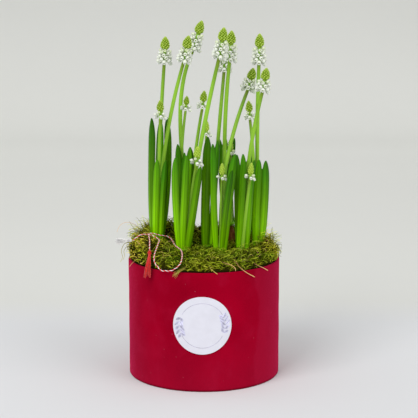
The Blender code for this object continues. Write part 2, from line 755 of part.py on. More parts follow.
def main():
    clear_scene()
    materials = make_materials()
    parts = new_collection("grape_hyacinth_in_flower_box")
    make_box_wall(parts, materials)
    make_box_bottom(parts, materials)
    make_label(parts, materials)
    make_soil(parts, materials)
    moss = make_moss(parts, materials)
    for key, plant in PLANTS.items():
        make_bulb(key, plant, parts, materials)
        make_leaves(key, plant, parts, materials)
        for number, scape in enumerate(plant["scapes"], 1):
            name = f"{key}{number}"
            make_scape(name, plant, scape, parts, materials)
            make_florets(name, plant, scape, parts, materials)
    route = make_twine(moss, parts, materials)
    level = route[0].z
    white = [Vector((x, y, level + z)) for x, y, z in WHITE_TASSEL]
    make_tassel("tassel_white", white, parts, materials["white_yarn"])
    make_red_tassel(moss, parts, materials)


main()
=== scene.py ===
"""White grape hyacinths in a round velvet flower box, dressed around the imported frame."""

import math

import bpy
import numpy as np
from bpy.props import FloatProperty, FloatVectorProperty, IntProperty, PointerProperty
from mathutils import Matrix, Vector, noise
from mathutils.bvhtree import BVHTree


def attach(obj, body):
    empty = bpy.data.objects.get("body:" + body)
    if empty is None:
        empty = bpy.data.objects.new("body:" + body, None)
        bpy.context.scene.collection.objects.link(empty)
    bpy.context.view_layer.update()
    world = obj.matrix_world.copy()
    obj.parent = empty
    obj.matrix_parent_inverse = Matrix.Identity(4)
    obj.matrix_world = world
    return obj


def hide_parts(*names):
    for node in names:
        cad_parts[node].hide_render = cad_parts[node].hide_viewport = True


bl_info = {
    "name": "Grape hyacinths in a flower box",
    "version": (1, 0, 0),
    "blender": (4, 5, 0),
    "location": "3D View > Sidebar > Flower Box",
    "description": "Velvet flower box with moss, grape hyacinths, a paper label and a twine with tassels",
    "category": "Object",
}

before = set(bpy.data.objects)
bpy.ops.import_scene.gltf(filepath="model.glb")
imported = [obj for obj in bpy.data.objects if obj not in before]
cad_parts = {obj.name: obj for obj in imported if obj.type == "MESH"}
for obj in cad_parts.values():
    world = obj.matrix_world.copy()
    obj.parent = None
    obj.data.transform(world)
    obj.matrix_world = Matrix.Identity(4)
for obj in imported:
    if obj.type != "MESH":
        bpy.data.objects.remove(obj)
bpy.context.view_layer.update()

MM = 0.001
GAP = 0.3
BODY = "root"

# The stage, in metres. Each light has a name, a place, a width and a power; both face one point.
ROOM_LIGHT = (1.0, 0.995, 0.985, 1.0)
ROOM_STRENGTH = 0.62
FLOOR_FRONT, FLOOR_BACK, FLOOR_HALF = -2.6, 2.3, 2.4
FLOOR_CURVE, WALL_TOP = 0.5, 2.4
LIGHTS = (("key", (-0.9, -1.2, 1.5), 1.1, 22.0), ("fill", (1.2, -1.0, 1.0), 1.2, 10.0))
LIGHTS_AIM = (0.0, 0.0, 0.16)
CAMERA_AT = (0.0047, -1.205, 0.368)
CAMERA_TILT = 80.0
# The focal length, in widths of the picture.
FOCAL_LENGTH = 1308.0 / 418.0

# Lengths below are in millimetres.

BOX_RADIUS = 71.0
BOX_HEIGHT = 110.0
WALL = 2.5
WALL_SIDES = 192

MOSS_TOP = 120.5
MOSS_REACH = 72.0
MOUND_SUNK = 2.6
# How far the moss drops at each distance from the middle.
MOSS_EDGE = ((0.0, 0.0), (59.0, 0.0), (64.0, -1.0), (68.0, -3.0), (70.8, -5.5), (MOSS_REACH, -7.8))
TUFT_SPACING = 8.2
TUFT_RADIUS = 4.9
# The share of the sprigs that grow along the moss's side.
RIM_SHARE = 0.34
# Tufts that stand well over the others: place, and how much each swells.
TALL_TUFTS = (
    (-36, 44, 2.0), (-29, 47, 1.7), (30, 46, 2.2), (36, 43, 1.8), (58, 18, 1.9), (64, 4, 1.7),
    (60, 30, 1.8), (-62, 10, 1.8), (-58, 22, 1.9), (-54, 30, 1.7), (12, 52, 1.6), (46, 34, 1.7),
)
# The mound under the sprigs, from the velvet's rim to the middle.
MOUND_SIDES = 96
MOUND_RADII = (69.2, 68.4, 66.8, 64.5, 61.5, 58, 53, 48, 42, 36, 30, 24, 18, 12, 6, 0)
LEAFLET_SPACING = 0.85
CURLED_THREADS = 130
BARE_ROUND_PLANT = 3.2
# Where the moss is greener or browner: place, how far it reaches, and the change of tone.
MOSS_TONES = (
    (38, -38, 18, -0.30), (68, -8, 12, 0.52), (62, 25, 14, 0.20), (8, -60, 10, 0.04),
    (-64, -18, 18, 0.60), (-55, 15, 14, 0.24), (0, -5, 26, -0.22), (-20, -52, 17, -0.36),
)

# Loose strands, through these points from end to end: the radius, and whether it is dry and pinkish.
LOOSE_STRANDS = (
    (((-58.1, 0, 133.0), (-62.8, 0, 139.3), (-68.4, 0, 142.2), (-74.0, 0, 142.7), (-79.2, 0, 139.3),
      (-81.6, 0, 133.6)), 0.20, True),
    (((-66.0, -8, 125.6), (-73.0, -8, 124.7), (-76.1, -8, 120.9), (-77.1, -8, 116.1),
      (-76.2, -8, 111.3), (-78.1, -8, 106.6)), 0.28, False),
    (((-65.0, -12, 123.6), (-72.0, -12, 121.7), (-74.5, -12, 117.9), (-74.1, -12, 113.2),
      (-75.5, -12, 109.3)), 0.28, False),
    (((-59.0, -36.0, 117.0), (-62.0, -36.6, 115.6), (-64.0, -32.9, 112.5), (-66.7, -27.1, 108.9),
      (-69.0, -20.6, 105.1)), 0.30, True),
    (((26.5, -62.0, 119.0), (28.7, -66.0, 119.2), (31.0, -65.0, 115.4), (35.1, -62.9, 111.2),
      (39.7, -60.0, 107.4), (45.7, -55.6, 103.2)), 0.48, True),
    (((45.0, -52.0, 115.4), (47.0, -54.5, 114.4), (49.8, -52.0, 112.5), (54.1, -47.5, 109.6),
      (58.2, -42.3, 106.2)), 0.50, True),
    (((16.0, -64.0, 119.0), (19.8, -69.2, 118.5), (24.3, -67.8, 116.9), (27.9, -66.3, 113.8),
      (28.3, -66.2, 111.1)), 0.38, True),
    (((4.0, -66.0, 117.0), (6.5, -71.7, 114.0), (9.1, -71.6, 111.7), (12.2, -71.2, 109.3)), 0.40, False),
    (((-53.0, -44.0, 116.0), (-55.1, -46.3, 114.9), (-58.0, -42.6, 112.3)), 0.34, True),
)
LOOSE_SPRIGS = (
    ((-17.0, -66.0, 115.5), (-19.3, -69.8, 112.7), (-22.0, -69.3, 110.2), (-25.1, -68.2, 107.9),
     (-27.4, -67.2, 106.5)),
    ((-14.0, -66.5, 116.5), (-18.0, -69.9, 113.4), (-22.5, -69.0, 111.2), (-26.6, -67.6, 109.2)),
    ((-20.0, -66.0, 113.5), (-23.5, -69.0, 109.6), (-25.4, -68.2, 106.6)),
)

LABEL_RADIUS = 26.5
LABEL_CENTRE = (-1.4, 62.0)
LABEL_THICK = 0.6
LABEL_SIDES = 96
LABEL_RINGS = 10
PRINT_RING = 20.5
PRINT_ARCS = ((28, 152), (208, 332))
INK = 0.05

SHEATH_RADIUS = 5.7
LEAF_THICK = 0.9
LEAF_CHANNEL = 0.16
LEAF_TIP_START = 0.8
LEAF_TURN = 0.5
# Where a leaf has its rings of points, from foot to tip, and where each ring's points stand across it.
LEAF_STATIONS = (*(i / 26 for i in range(25)), 0.945, 0.97, 0.986, 0.996)
LEAF_COLUMNS = (-1.0, -0.72, -0.36, 0.0, 0.36, 0.72, 1.0)

SCAPE_FOOT_RADIUS = 1.4
SCAPE_FOOT_CIRCLE = 2.0
RACHIS_RADIUS = 1.2
GOLDEN_ANGLE = math.radians(137.508)
# How far the cone of buds reaches down among the bells, and how much a head turns upright again.
HEAD_LAP = 1.4
HEAD_LIFT = 0.3
# The young heads, whose buds are still pale.
PALE_HEADS = ("b2", "d2", "e2", "f2", "g1")
# Outlines as radius and height: a closed bud, and an open bell with its inside.
EGG = ((0.0, 0.0), (0.62, 0.16), (1.0, 0.45), (0.86, 0.74), (0.42, 0.95), (0.0, 1.0))
BELL = (
    (0.10, 0.0), (0.30, 0.05), (0.72, 0.18), (1.0, 0.42), (0.96, 0.62), (0.70, 0.84), (0.58, 0.91),
    (0.74, 1.0), (0.62, 1.0), (0.46, 0.90), (0.30, 0.70),
)
CONE_PROFILE = (0.0, 1.0, 1.04, 0.93, 0.72, 0.42, 0.0)

STAGES = {
    "tall": dict(length=29.5, skirt=16.0, bells=28, buds=70, reach=7.4, cone=4.1, stem=1.95),
    "open": dict(length=26.0, skirt=13.0, bells=24, buds=70, reach=7.4, cone=4.1, stem=1.8),
    "short": dict(length=23.2, skirt=11.0, bells=20, buds=64, reach=7.4, cone=4.0, stem=1.85),
    "half": dict(length=19.0, skirt=7.5, bells=8, buds=50, reach=5.6, cone=3.3, stem=1.55),
    "small": dict(length=15.5, skirt=6.5, bells=8, buds=40, reach=4.7, cone=2.7, stem=1.4),
    "bud": dict(length=17.5, skirt=5.0, bells=6, buds=46, reach=4.4, cone=2.8, stem=1.4),
}

# Each plant, as in the solids: its place, the top of its bulb and of its sheath, its leaves (side of
# the sheath in degrees, tip, width, bow) and its scapes (side, foot of the bells, bow, stage).
PLANTS = {
    "a": dict(
        at=(-44, 8), neck=116, sheath=127,
        leaves=(
            (-165, (-48.5, 3, 241), 8.5, (-1.4, 0)), (-115, (-43, -10, 204), 6.5, (-0.5, -1)),
            (-45, (-35, -8, 203), 6.5, (-0.5, -1)), (50, (-34.5, 18, 240), 7.5, (3.5, 0)),
            (110, (-41, 27, 237), 7, (0, 2)),
        ),
        scapes=(
            (155, (-36.9, 14, 290), (-1, 2.4), "open"), (10, (-18.7, 1, 292), (-7, 3), "open"),
            (-90, (-40.4, -2, 240), (0, -0.5), "half"),
        ),
    ),
    "b": dict(
        at=(-19, -8), neck=112, sheath=121.5,
        leaves=(
            (-145, (-26.3, -14, 206), 7.5, (-2, 0)), (-105, (-15.5, -19.5, 209), 6.5, (-0.5, -1)),
            (-40, (-2.7, -22, 199), 7.5, (0, -1)), (125, (-18, 0, 209), 6, (-1, 0.5)),
            (70, (-13, 2, 214), 6, (-0.5, 1)),
        ),
        scapes=(
            (60, (13.8, -7, 296), (-3.2, 0), "tall"), (-60, (-7.2, -16, 199), (-0.7, 1.2), "half"),
        ),
    ),
    "c": dict(
        at=(-16, 16), neck=113, sheath=123,
        leaves=(
            (-130, (-24.5, 8, 216), 7, (-1, -1)), (-50, (-11.5, 6, 211), 6.5, (0, 0)),
            (80, (-13, 33, 210), 6.5, (0, 2)), (115, (-25, 36, 202), 6.5, (-1, 1)),
        ),
        scapes=(
            (120, (-10.3, 26, 302), (-10, 1, 2), "tall"), (-130, (-17.2, 13, 246), (-4.5, 0.5), "small"),
            (0, (-1.8, 18, 247), (-3, 1), "half"),
        ),
    ),
    "d": dict(
        at=(3, 7), neck=112, sheath=122,
        leaves=(
            (-115, (3.7, -1, 224), 8.5, (-1, -1)), (-30, (13, 5, 220), 7, (0, 0)),
            (110, (2, 27, 207), 6.5, (0, 1)),
        ),
        scapes=(
            (60, (18.9, 36, 281), (0, 0), "open"), (180, (2.1, 13, 222), (0, 0.5), "bud"),
        ),
    ),
    "e": dict(
        at=(15, -8), neck=112, sheath=121.5,
        leaves=(
            (-155, (8, -15, 219), 7.5, (-0.9, 0)), (-38, (28.9, -18, 210), 9, (-0.8, -0.5)),
            (-70, (26, -25, 196), 5.5, (-1.2, 0)),
        ),
        scapes=(
            (20, (40.9, 26, 264), (-9.5, -5), "short"), (-90, (16.5, -14.5, 185), (-0.1, 2), "bud"),
        ),
    ),
    "f": dict(
        at=(24, 31), neck=134, sheath=139,
        leaves=(
            (160, (15, 35, 217), 6.5, (-1, 1)), (45, (29.1, 37, 218), 7, (-3.5, 1)),
            (100, (20.5, 45, 218), 6.5, (-2, 2)),
        ),
        scapes=(
            (-150, (23.8, 17, 292), (-3.6, -1), "tall"), (-40, (25.3, 30, 202), (0.4, 0.6), "bud"),
        ),
    ),
    "g": dict(
        at=(36, -4), neck=112, sheath=121.5,
        leaves=(
            (160, (30.5, 1, 207), 7, (-0.5, 0)), (-168, (35.8, -10, 209), 8, (0.6, 0)),
            (-6, (46.8, -8, 203), 7.5, (-0.3, 0)), (70, (41, 13, 200), 7, (0, 1.5)),
        ),
        scapes=(
            (-100, (42.3, -18, 186), (-0.6, -0.9), "bud"), (30, (54, 2, 265), (-5.5, 0.5), "short"),
        ),
    ),
    "h": dict(
        at=(51, 12), neck=114, sheath=124,
        leaves=(
            (-120, (51.5, 3, 202), 7.5, (-1.5, -1)), (-45, (57.6, 3, 201), 7.5, (1.8, 0)),
            (120, (45, 28, 208), 7, (-1, 2)), (50, (55.5, 27, 190), 6.5, (0.5, 2)),
        ),
        scapes=(
            (60, (51.2, 19, 289), (-1.5, 1), "tall"), (-170, (43, 13, 238), (2, 0), "half"),
        ),
    ),
}

TWINE_RADIUS = 0.8
# Between the points of the twine's route, and between those of the finer line for its strands.
TWINE_SPACING = 4.8
TWINE_FINE = 0.45
TWINE_PITCH = 4.6
STRAND_RADIUS = 0.34
STRAND_OFFSET = 0.27
TASSEL_THREADS = 64
TASSEL_THREAD = 0.27
TWINE_ROUTE = (
    (-66, -16, 0), (-60, -14.5, 0), (-54, -11, 0), (-49, -7.5, 0), (-45, -7.2, 0), (-42.3, -11, 0),
    (-41.2, -20, 0), (-42.0, -32, 0), (-43.6, -43, 0), (-44.8, -53, 0), (-43.6, -58.6, 0),
    (-40.2, -62.3, 0), (-36.2, -64.8, 0), (-31.9, -66.9, 0.3), (-27.4, -68.9, 1.2), (-23.2, -69.3, 0),
    (-20.4, -65.8, 0), (-19.4, -57, 0), (-20, -38, 0), (-22.8, -22, 0), (-27.2, -9.5, 0.5),
    (-30.2, 0, 1.2), (-34.0, 3.0, 1.6), (-38.5, 0.5, 1.6), (-43, -2.6, 1.6), (-47.5, -4.6, 1.6),
    (-50.8, -9, 1.0), (-51, -15, 0), (-50, -24, 0), (-49.5, -34, 0), (-49.2, -42.5, 0),
)
TASSEL_RADII = (1.2, 1.6, 1.1, 1.5, 2.2, 2.5, 2.5)
RED_TASSEL = (
    (-49.2, -42.9, 124), (-49.2, -45.2, 123), (-49.2, -47.6, 121), (-49.4, -51.6, 119),
    (-49.8, -55.7, 116), (-50.4, -56.0, 110.5), (-50.8, -54.9, 103.5),
)
WHITE_TASSEL = (
    (-66.8, -16.1, 0.3), (-68.8, -16.4, 0.6), (-70.6, -16.7, 0.7), (-73, -17, 0.7), (-75.5, -17.3, 0.6),
    (-78.3, -17.7, 0.4), (-81, -18, 0.2),
)


# Sizes and colours

def colour_property(name, text, value):
    """A colour that the panel shows."""
    return FloatVectorProperty(
        name=name, description=text, default=value, subtype="COLOR", size=3, min=0.0, max=1.0
    )


class FlowerBoxColours(bpy.types.PropertyGroup):
    velvet: colour_property("Velvet", "Colour of the velvet on the box", (0.308, 0.0003, 0.0138))
    paper: colour_property("Paper", "Colour of the label's paper", (0.72, 0.72, 0.80))
    print_ink: colour_property("Print", "Colour of the ribs and ring on the label", (0.36, 0.34, 0.45))
    pale_ink: colour_property("Pale print", "Colour of the leaves on the label", (0.53, 0.53, 0.68))
    # The light and dark moss colours are lit and shaded copies of the middle one: painted light for the
    # strands on top, painted shade for the low ones.
    moss_light: colour_property("Moss, light", "Colour of the lightest strands", (0.54, 0.60, 0.040))
    moss_middle: colour_property("Moss, middle", "Colour of most strands", (0.26, 0.33, 0.009))
    moss_dark: colour_property("Moss, dark", "Colour of the low strands, a painted shaded copy", (0.110, 0.125, 0.006))
    leaf_foot: colour_property("Leaf foot", "Colour of a leaf near the moss", (0.245, 0.63, 0.001))
    leaf_top: colour_property("Leaf top", "Colour of a leaf at its tip", (0.042, 0.185, 0.002))
    scape: colour_property("Stalk", "Colour of the flower stalks", (0.27, 0.53, 0.035))
    bud: colour_property("Buds", "Colour of the closed buds", (0.25, 0.42, 0.008))
    pale_bud: colour_property("Buds, young", "Colour of the buds on young heads", (0.44, 0.66, 0.050))
    bell: colour_property("Bells", "Colour of the open bells", (0.74, 0.77, 0.68))
    red_yarn: colour_property("Red yarn", "Colour of the red yarn", (0.86, 0.018, 0.010))
    white_yarn: colour_property("White yarn", "Colour of the white yarn", (0.86, 0.85, 0.84))
    floor: colour_property("Floor", "Colour of the floor", (0.640, 0.652, 0.670))
    wall: colour_property("Wall", "Colour of the wall behind", (0.520, 0.526, 0.508))


class FlowerBoxSizes(bpy.types.PropertyGroup):
    nap: FloatProperty(
        name="Velvet nap", description="Depth of the velvet's pile in its bump", default=0.0004,
        min=0.0, max=0.002, unit="LENGTH",
    )
    sprig: FloatProperty(
        name="Moss sprig", description="Usual length of a moss sprig", default=0.0085,
        min=0.003, max=0.02, unit="LENGTH",
    )
    sprigs: IntProperty(
        name="Sprigs of a shade", description="How many moss sprigs each shade has", default=2450,
        min=100, max=2600,
    )
    bell: FloatProperty(
        name="Bell length", description="Length of one white bell", default=0.0045,
        min=0.002, max=0.006, unit="LENGTH",
    )


def colours():
    return bpy.context.scene.flower_box_colours


def sizes():
    return bpy.context.scene.flower_box_sizes


# Materials

class Finish:
    """A material with its nodes, so that each finish below is a few lines."""

    def __init__(self, name, roughness, specular):
        self.material = bpy.data.materials.new(name)
        self.material.use_nodes = True
        self.tree = self.material.node_tree
        self.shader = self.tree.nodes["Principled BSDF"]
        self.shade({"Roughness": roughness, "Specular IOR Level": specular})

    def add(self, kind, **values):
        """Adds a node; the values are its settings, or its sockets by their names."""
        node = self.tree.nodes.new("ShaderNode" + kind)
        for key, value in values.items():
            if key in node.inputs:
                self.feed(node.inputs[key], value)
            else:
                setattr(node, key, value)
        return node

    def feed(self, socket, value):
        if isinstance(value, bpy.types.NodeSocket):
            self.tree.links.new(value, socket)
        else:
            socket.default_value = value

    def shade(self, values):
        for key, value in values.items():
            self.feed(self.shader.inputs[key], value)

    def place(self, stretch=(1.0, 1.0, 1.0)):
        """Object coordinates in metres, stretched."""
        coordinates = self.add("TexCoord").outputs["Object"]
        return self.add("Mapping", Vector=coordinates, Scale=stretch).outputs["Vector"]

    def split(self, vector):
        return self.add("SeparateXYZ", Vector=vector).outputs

    def along(self):
        """The piece's own two coordinates: across it, and from its foot to its end."""
        across, along, _ = self.split(self.add("UVMap").outputs["UV"])
        return across, along

    def noise(self, scale, vector=None, detail=3.0, roughness=0.5):
        vector = vector or self.place()
        node = self.add("TexNoise", Scale=scale, Detail=detail, Roughness=roughness, Vector=vector)
        return node.outputs["Fac"]

    def ramp(self, value, *stops):
        """A colour ramp; each stop is a position and a colour."""
        node = self.add("ValToRGB", Fac=value)
        points = node.color_ramp.elements
        while len(points) < len(stops):
            points.new(1.0)
        for point, (position, colour) in zip(points, stops):
            point.position = position
            point.color = (*colour, 1.0)
        return node.outputs["Color"]

    def level(self, value, low, high, to_low=0.0, to_high=1.0):
        ends = {"From Min": low, "From Max": high, "To Min": to_low, "To Max": to_high}
        return self.add("MapRange", Value=value, **ends).outputs["Result"]

    def plus(self, first, second):
        node = self.add("Math", operation="ADD")
        self.feed(node.inputs[0], first)
        self.feed(node.inputs[1], second)
        return node.outputs[0]

    def mix(self, share, first, second, blend="MIX"):
        node = self.add("Mix", data_type="RGBA", blend_type=blend)
        for socket, value in ((0, share), (6, first), (7, second)):
            self.feed(node.inputs[socket], (*value, 1.0) if isinstance(value, tuple) else value)
        return node.outputs[2]

    def colour(self, value):
        self.shade({"Base Color": value})

    def bump(self, height, distance, strength=1.0):
        node = self.add("Bump", Height=height, Distance=distance, Strength=strength)
        previous = self.shader.inputs["Normal"]
        if previous.is_linked:
            self.feed(node.inputs["Normal"], previous.links[0].from_socket)
        self.feed(previous, node.outputs["Normal"])


def scaled(colour, factor):
    """The colour, lighter or darker."""
    return tuple(min(1.0, c * factor) for c in colour)


def velvet_finish():
    """Deep pile with lint and a faint sheen at the sides; its lighter, pinker patches, blotches and a band
    on the right side are painted sheen where the nap lies another way, the lower part is painted lighter as
    light thrown up from the floor, and the foot is painted dark as shadow.
    """
    red = tuple(colours().velvet)
    # A lighter, pinker red, used as painted sheen and, low down, as painted light thrown up from the floor.
    painted_light_red = (red[0] * 1.22, red[1] + 0.006, red[2] * 2.4)
    f = Finish("velvet", 0.95, 0.0)
    patches = f.noise(17.0, f.place((1.0, 1.0, 0.75)), 3.0, 0.5)
    cloud = f.noise(55.0, f.place((1.0, 1.0, 0.8)), 4.0, 0.6)
    # Painted sheen: soft lighter and darker patches, where the nap lies another way.
    base = f.ramp(patches, (0.34, scaled(red, 0.84)), (0.50, red), (0.66, scaled(red, 1.20)))
    # Painted sheen: pinker blotches.
    base = f.mix(f.level(cloud, 0.50, 0.72, 0.0, 0.45), base, painted_light_red)
    x, _, z = f.split(f.place())
    wave = f.level(f.noise(22.0), 0.0, 1.0, -0.010, 0.010)
    # Painted sheen: a lighter band down the right side of the box, with a wavy edge.
    base = f.mix(f.level(f.plus(x, wave), 0.0475, 0.0495, 0.0, 0.55), base, painted_light_red)
    pile = f.noise(2400.0, None, 2.0, 0.7)
    base = f.mix(f.level(pile, 0.35, 0.65, 0.0, 0.28), base, scaled(red, 0.62))
    specks = f.add("TexVoronoi", Vector=f.place(), Scale=120.0).outputs["Distance"]
    base = f.mix(f.level(specks, 0.045, 0.03, 0.0, 0.55), base, (0.62, 0.20, 0.28))
    # Painted light: the lower part of the wall turns lighter, as light thrown up from the floor.
    base = f.mix(f.level(z, 0.0, 0.055, 0.4, 0.0), base, painted_light_red)
    # Painted shadow: the last couple of millimetres at the foot darken nearly to black.
    f.colour(f.mix(f.level(z, 0.0006, 0.0024, 0.7, 0.0), base, scaled(red, 0.15)))
    f.shade({"Sheen Weight": 0.70, "Sheen Roughness": 0.36, "Sheen Tint": (1.0, 0.07, 0.24, 1.0)})
    f.bump(pile, sizes().nap, 0.6)
    f.bump(patches, 0.0012, 0.3)
    return f.material


def card_finish():
    """Plain card, a little mottled."""
    f = Finish("card", 0.9, 0.2)
    f.colour(f.ramp(f.noise(300.0, None, 5.0), (0.3, (0.24, 0.18, 0.12)), (0.7, (0.36, 0.28, 0.2))))
    f.bump(f.noise(900.0), 0.0002, 0.6)
    return f.material


def paper_finish():
    """Smooth paper, faintly uneven."""
    paper = tuple(colours().paper)
    f = Finish("paper", 0.48, 0.4)
    f.colour(f.mix(f.level(f.noise(120.0, None, 4.0), 0.4, 0.7), paper, scaled(paper, 0.95)))
    f.bump(f.noise(1500.0, None, 2.0), 0.00006, 0.5)
    return f.material


def ink_finish(name, ink):
    """Print whose tone varies a little."""
    f = Finish(name, 0.5, 0.3)
    f.colour(f.ramp(f.noise(230.0, None, 3.0), (0.35, scaled(ink, 0.72)), (0.65, scaled(ink, 1.45))))
    return f.material


def soil_finish():
    """Dark damp crumbs."""
    f = Finish("soil", 1.0, 0.2)
    f.colour(f.ramp(f.noise(260.0, None, 6.0), (0.35, (0.02, 0.012, 0.007)), (0.7, (0.09, 0.06, 0.035))))
    f.bump(f.noise(320.0, None, 6.0), 0.002, 0.9)
    return f.material


def moss_finish(name, colour):
    """Moss strands: fresh green, olive or dry brown by their tone, with painted shade at the root and a
    painted highlight at the tip.
    """
    f = Finish(name, 0.9, 0.0)
    tone, v = f.along()
    r, g, b = colour
    base = f.ramp(
        tone, (0.05, (0.32 * r, 0.66 * g, 0.3 * b)), (0.42, colour), (0.60, (1.5 * r, 1.3 * g, 1.5 * b)),
        (0.95, (3.0 * r, 2.0 * g, 4.5 * b)),
    )
    # Painted shade: the lower half of each strand darkens towards its root, deep in the moss.
    base = f.mix(f.level(v, 0.05, 0.55, 0.90, 0.0), base, (0.14 * r, 0.16 * g, 0.1 * b))
    # Painted highlight: the upper half of each strand turns lighter towards its tip.
    f.colour(f.mix(f.level(v, 0.45, 0.95, 0.0, 0.75), base, (2.1 * r, 2.1 * g, 2.6 * b)))
    return f.material


def bulb_finish():
    """Dry skin with streaks from foot to neck."""
    f = Finish("bulb", 0.6, 0.08)
    streaks = f.noise(240.0, f.place((1.0, 1.0, 0.10)), 4.0, 0.6)
    f.colour(f.ramp(
        streaks, (0.32, (0.040, 0.012, 0.003)), (0.55, (0.17, 0.052, 0.010)), (0.75, (0.36, 0.17, 0.05))
    ))
    f.bump(streaks, 0.0006, 0.8)
    return f.material


def leaf_finish(name, bright):
    """Glossy straps, yellow-green at the foot and deep green above, with painted shade at the edges and in
    the channel, and a broad painted shade band along the leaf that also gives a faint bump.
    """
    foot, top = scaled(colours().leaf_foot, bright), scaled(colours().leaf_top, bright)
    middle = tuple(0.42 * a + 0.58 * b for a, b in zip(foot, top))
    f = Finish(name, 0.3, 0.09)
    u, v = f.along()
    shade = f.noise(48.0, f.place((1.0, 1.0, 0.3)), 3.0)
    base = f.ramp(
        f.plus(v, f.level(shade, 0.3, 0.7, -0.11, 0.11)), (0.0, scaled(foot, 1.1)),
        (0.25, scaled(foot, 0.85)), (0.52, middle), (0.80, scaled(top, 1.35)), (1.0, scaled(top, 0.95)),
    )
    # Painted light and shade across the leaf: darker edges, a darker channel down the middle, and one half
    # lighter than the other as if lit from that side.
    painted_side_shade = ((0.0, 0.50), (0.12, 0.95), (0.42, 1.0), (0.50, 0.66), (0.58, 0.76), (0.86, 0.66), (1.0, 0.36))
    base = f.mix(1.0, base, f.ramp(u, *((at, (grey,) * 3) for at, grey in painted_side_shade)), "MULTIPLY")
    # Painted shade: a broad wave across the leaf darkens part of it in a band along its length, and gives a
    # faint bump.
    painted_band_and_bump = f.add(
        "TexWave", bands_direction="X", wave_profile="SIN", Scale=0.95, Distortion=0.0,
        Vector=f.add("CombineXYZ", X=u).outputs["Vector"],
    ).outputs["Fac"]
    f.colour(f.mix(f.level(painted_band_and_bump, 0.35, 1.0, 0.0, 0.26), base, (0.38, 0.50, 0.30), "MULTIPLY"))
    f.shade({"Roughness": f.level(shade, 0.3, 0.7, 0.24, 0.40)})
    f.bump(painted_band_and_bump, 0.00015, 0.7)
    return f.material


def scape_finish():
    """Waxy stalks: paler low down, and darker to a dusky olive just under the bells, painted shade where
    the bells hang over them.
    """
    green = tuple(colours().scape)
    f = Finish("scape", 0.42, 0.2)
    _, v = f.along()
    streaks = f.noise(150.0, f.place((1.0, 1.0, 0.08)), 3.0)
    # The ramp darkens towards the top: painted shade where the bells hang over the stalk.
    base = f.ramp(
        v, (0.0, (0.42, 0.60, 0.06)), (0.2, green), (0.78, scaled(green, 0.88)),
        (0.93, scaled(green, 0.62)), (1.0, (0.14, 0.20, 0.012)),
    )
    f.colour(f.mix(f.level(streaks, 0.45, 0.7, 0.0, 0.45), base, scaled(green, 1.3)))
    f.bump(streaks, 0.0002, 0.4)
    return f.material


def bud_finish(name, bud):
    """Closed buds, with painted shade at their roots where they crowd the core, paler at their tips and at
    the top of the cone.
    """
    f = Finish(name, 0.5, 0.15)
    u, v = f.along()
    pale = tuple(0.4 * c + 0.6 * p for c, p in zip(bud, (0.58, 0.70, 0.16)))
    # Painted shade: each bud darkens towards its root, where the buds crowd the core.
    base = f.ramp(v, (0.0, scaled(bud, 0.62)), (0.35, bud), (1.0, pale))
    f.colour(f.mix(f.level(u, 0.70, 1.0, 0.0, 0.65), base, pale))
    return f.material


def bell_finish():
    """White bells, green where they leave the stalk; those next to the buds are still greenish."""
    white = tuple(colours().bell)
    f = Finish("bell", 0.5, 0.25)
    u, v = f.along()
    base = f.ramp(
        v, (0.0, (0.26, 0.42, 0.04)), (0.14, (0.50, 0.62, 0.26)), (0.34, white), (0.88, white),
        (1.0, (0.86, 0.87, 0.82)),
    )
    f.colour(f.mix(f.level(u, 0.74, 1.0, 0.0, 0.55), base, (0.62, 0.72, 0.34)))
    f.shade({"Subsurface Weight": 0.1, "Subsurface Radius": (0.001, 0.001, 0.0006)})
    return f.material


def yarn_finish(name, colour, depth):
    """Fuzzy yarn; some of a tassel's threads are darker than the others, down to the depth."""
    f = Finish(name, 0.8, 0.2)
    thread, _ = f.along()
    fuzz = f.ramp(
        f.noise(1300.0, None, 3.0), (0.3, scaled(colour, 0.62)), (0.55, colour), (0.8, scaled(colour, 1.2))
    )
    f.colour(f.mix(f.level(thread, 0.0, 0.5, depth, 0.0), fuzz, scaled(colour, 0.3)))
    f.shade({"Sheen Weight": 0.3})
    f.bump(f.noise(3000.0), 0.0002, 0.7)
    return f.material


def wall_finish():
    """The plain painted floor, painted lighter towards the wall, and the warmer wall far behind it, painted
    lighter with distance: painted light that makes up for the lamps' light falling off.
    """
    c = colours()
    f = Finish("plain_floor_and_wall", 0.8, 0.1)
    _, y, z = f.split(f.place())
    # Painted light: the floor is coloured lighter towards the back, making up for the lamps' light falling
    # off.
    floor = f.mix(f.level(y, -0.35, 0.15), tuple(c.floor), scaled(c.floor, 1.14))
    # Painted light: the far wall is coloured lighter with distance, and its tone shifts with height, making
    # up for the lamps' light falling off.
    behind = f.mix(f.level(y, 0.27, 1.6), scaled(c.wall, 1.42), scaled(c.wall, 1.74))
    wall = f.mix(f.level(z, 0.0, 0.3), behind, scaled(c.wall, 1.50))
    base = f.mix(f.level(y, 0.17, 0.27), floor, wall)
    uneven = f.level(f.noise(3.0, None, 4.0), 0.3, 0.7, 0.0, 0.03)
    f.colour(f.mix(uneven, base, (0.5, 0.5, 0.5)))
    return f.material


MADE = {}


def finish(name, maker, *values):
    """The material of this name, made once."""
    if name not in MADE:
        MADE[name] = maker(*values)
    return MADE[name]


# Meshes. Points are in millimetres here and become metres in put().

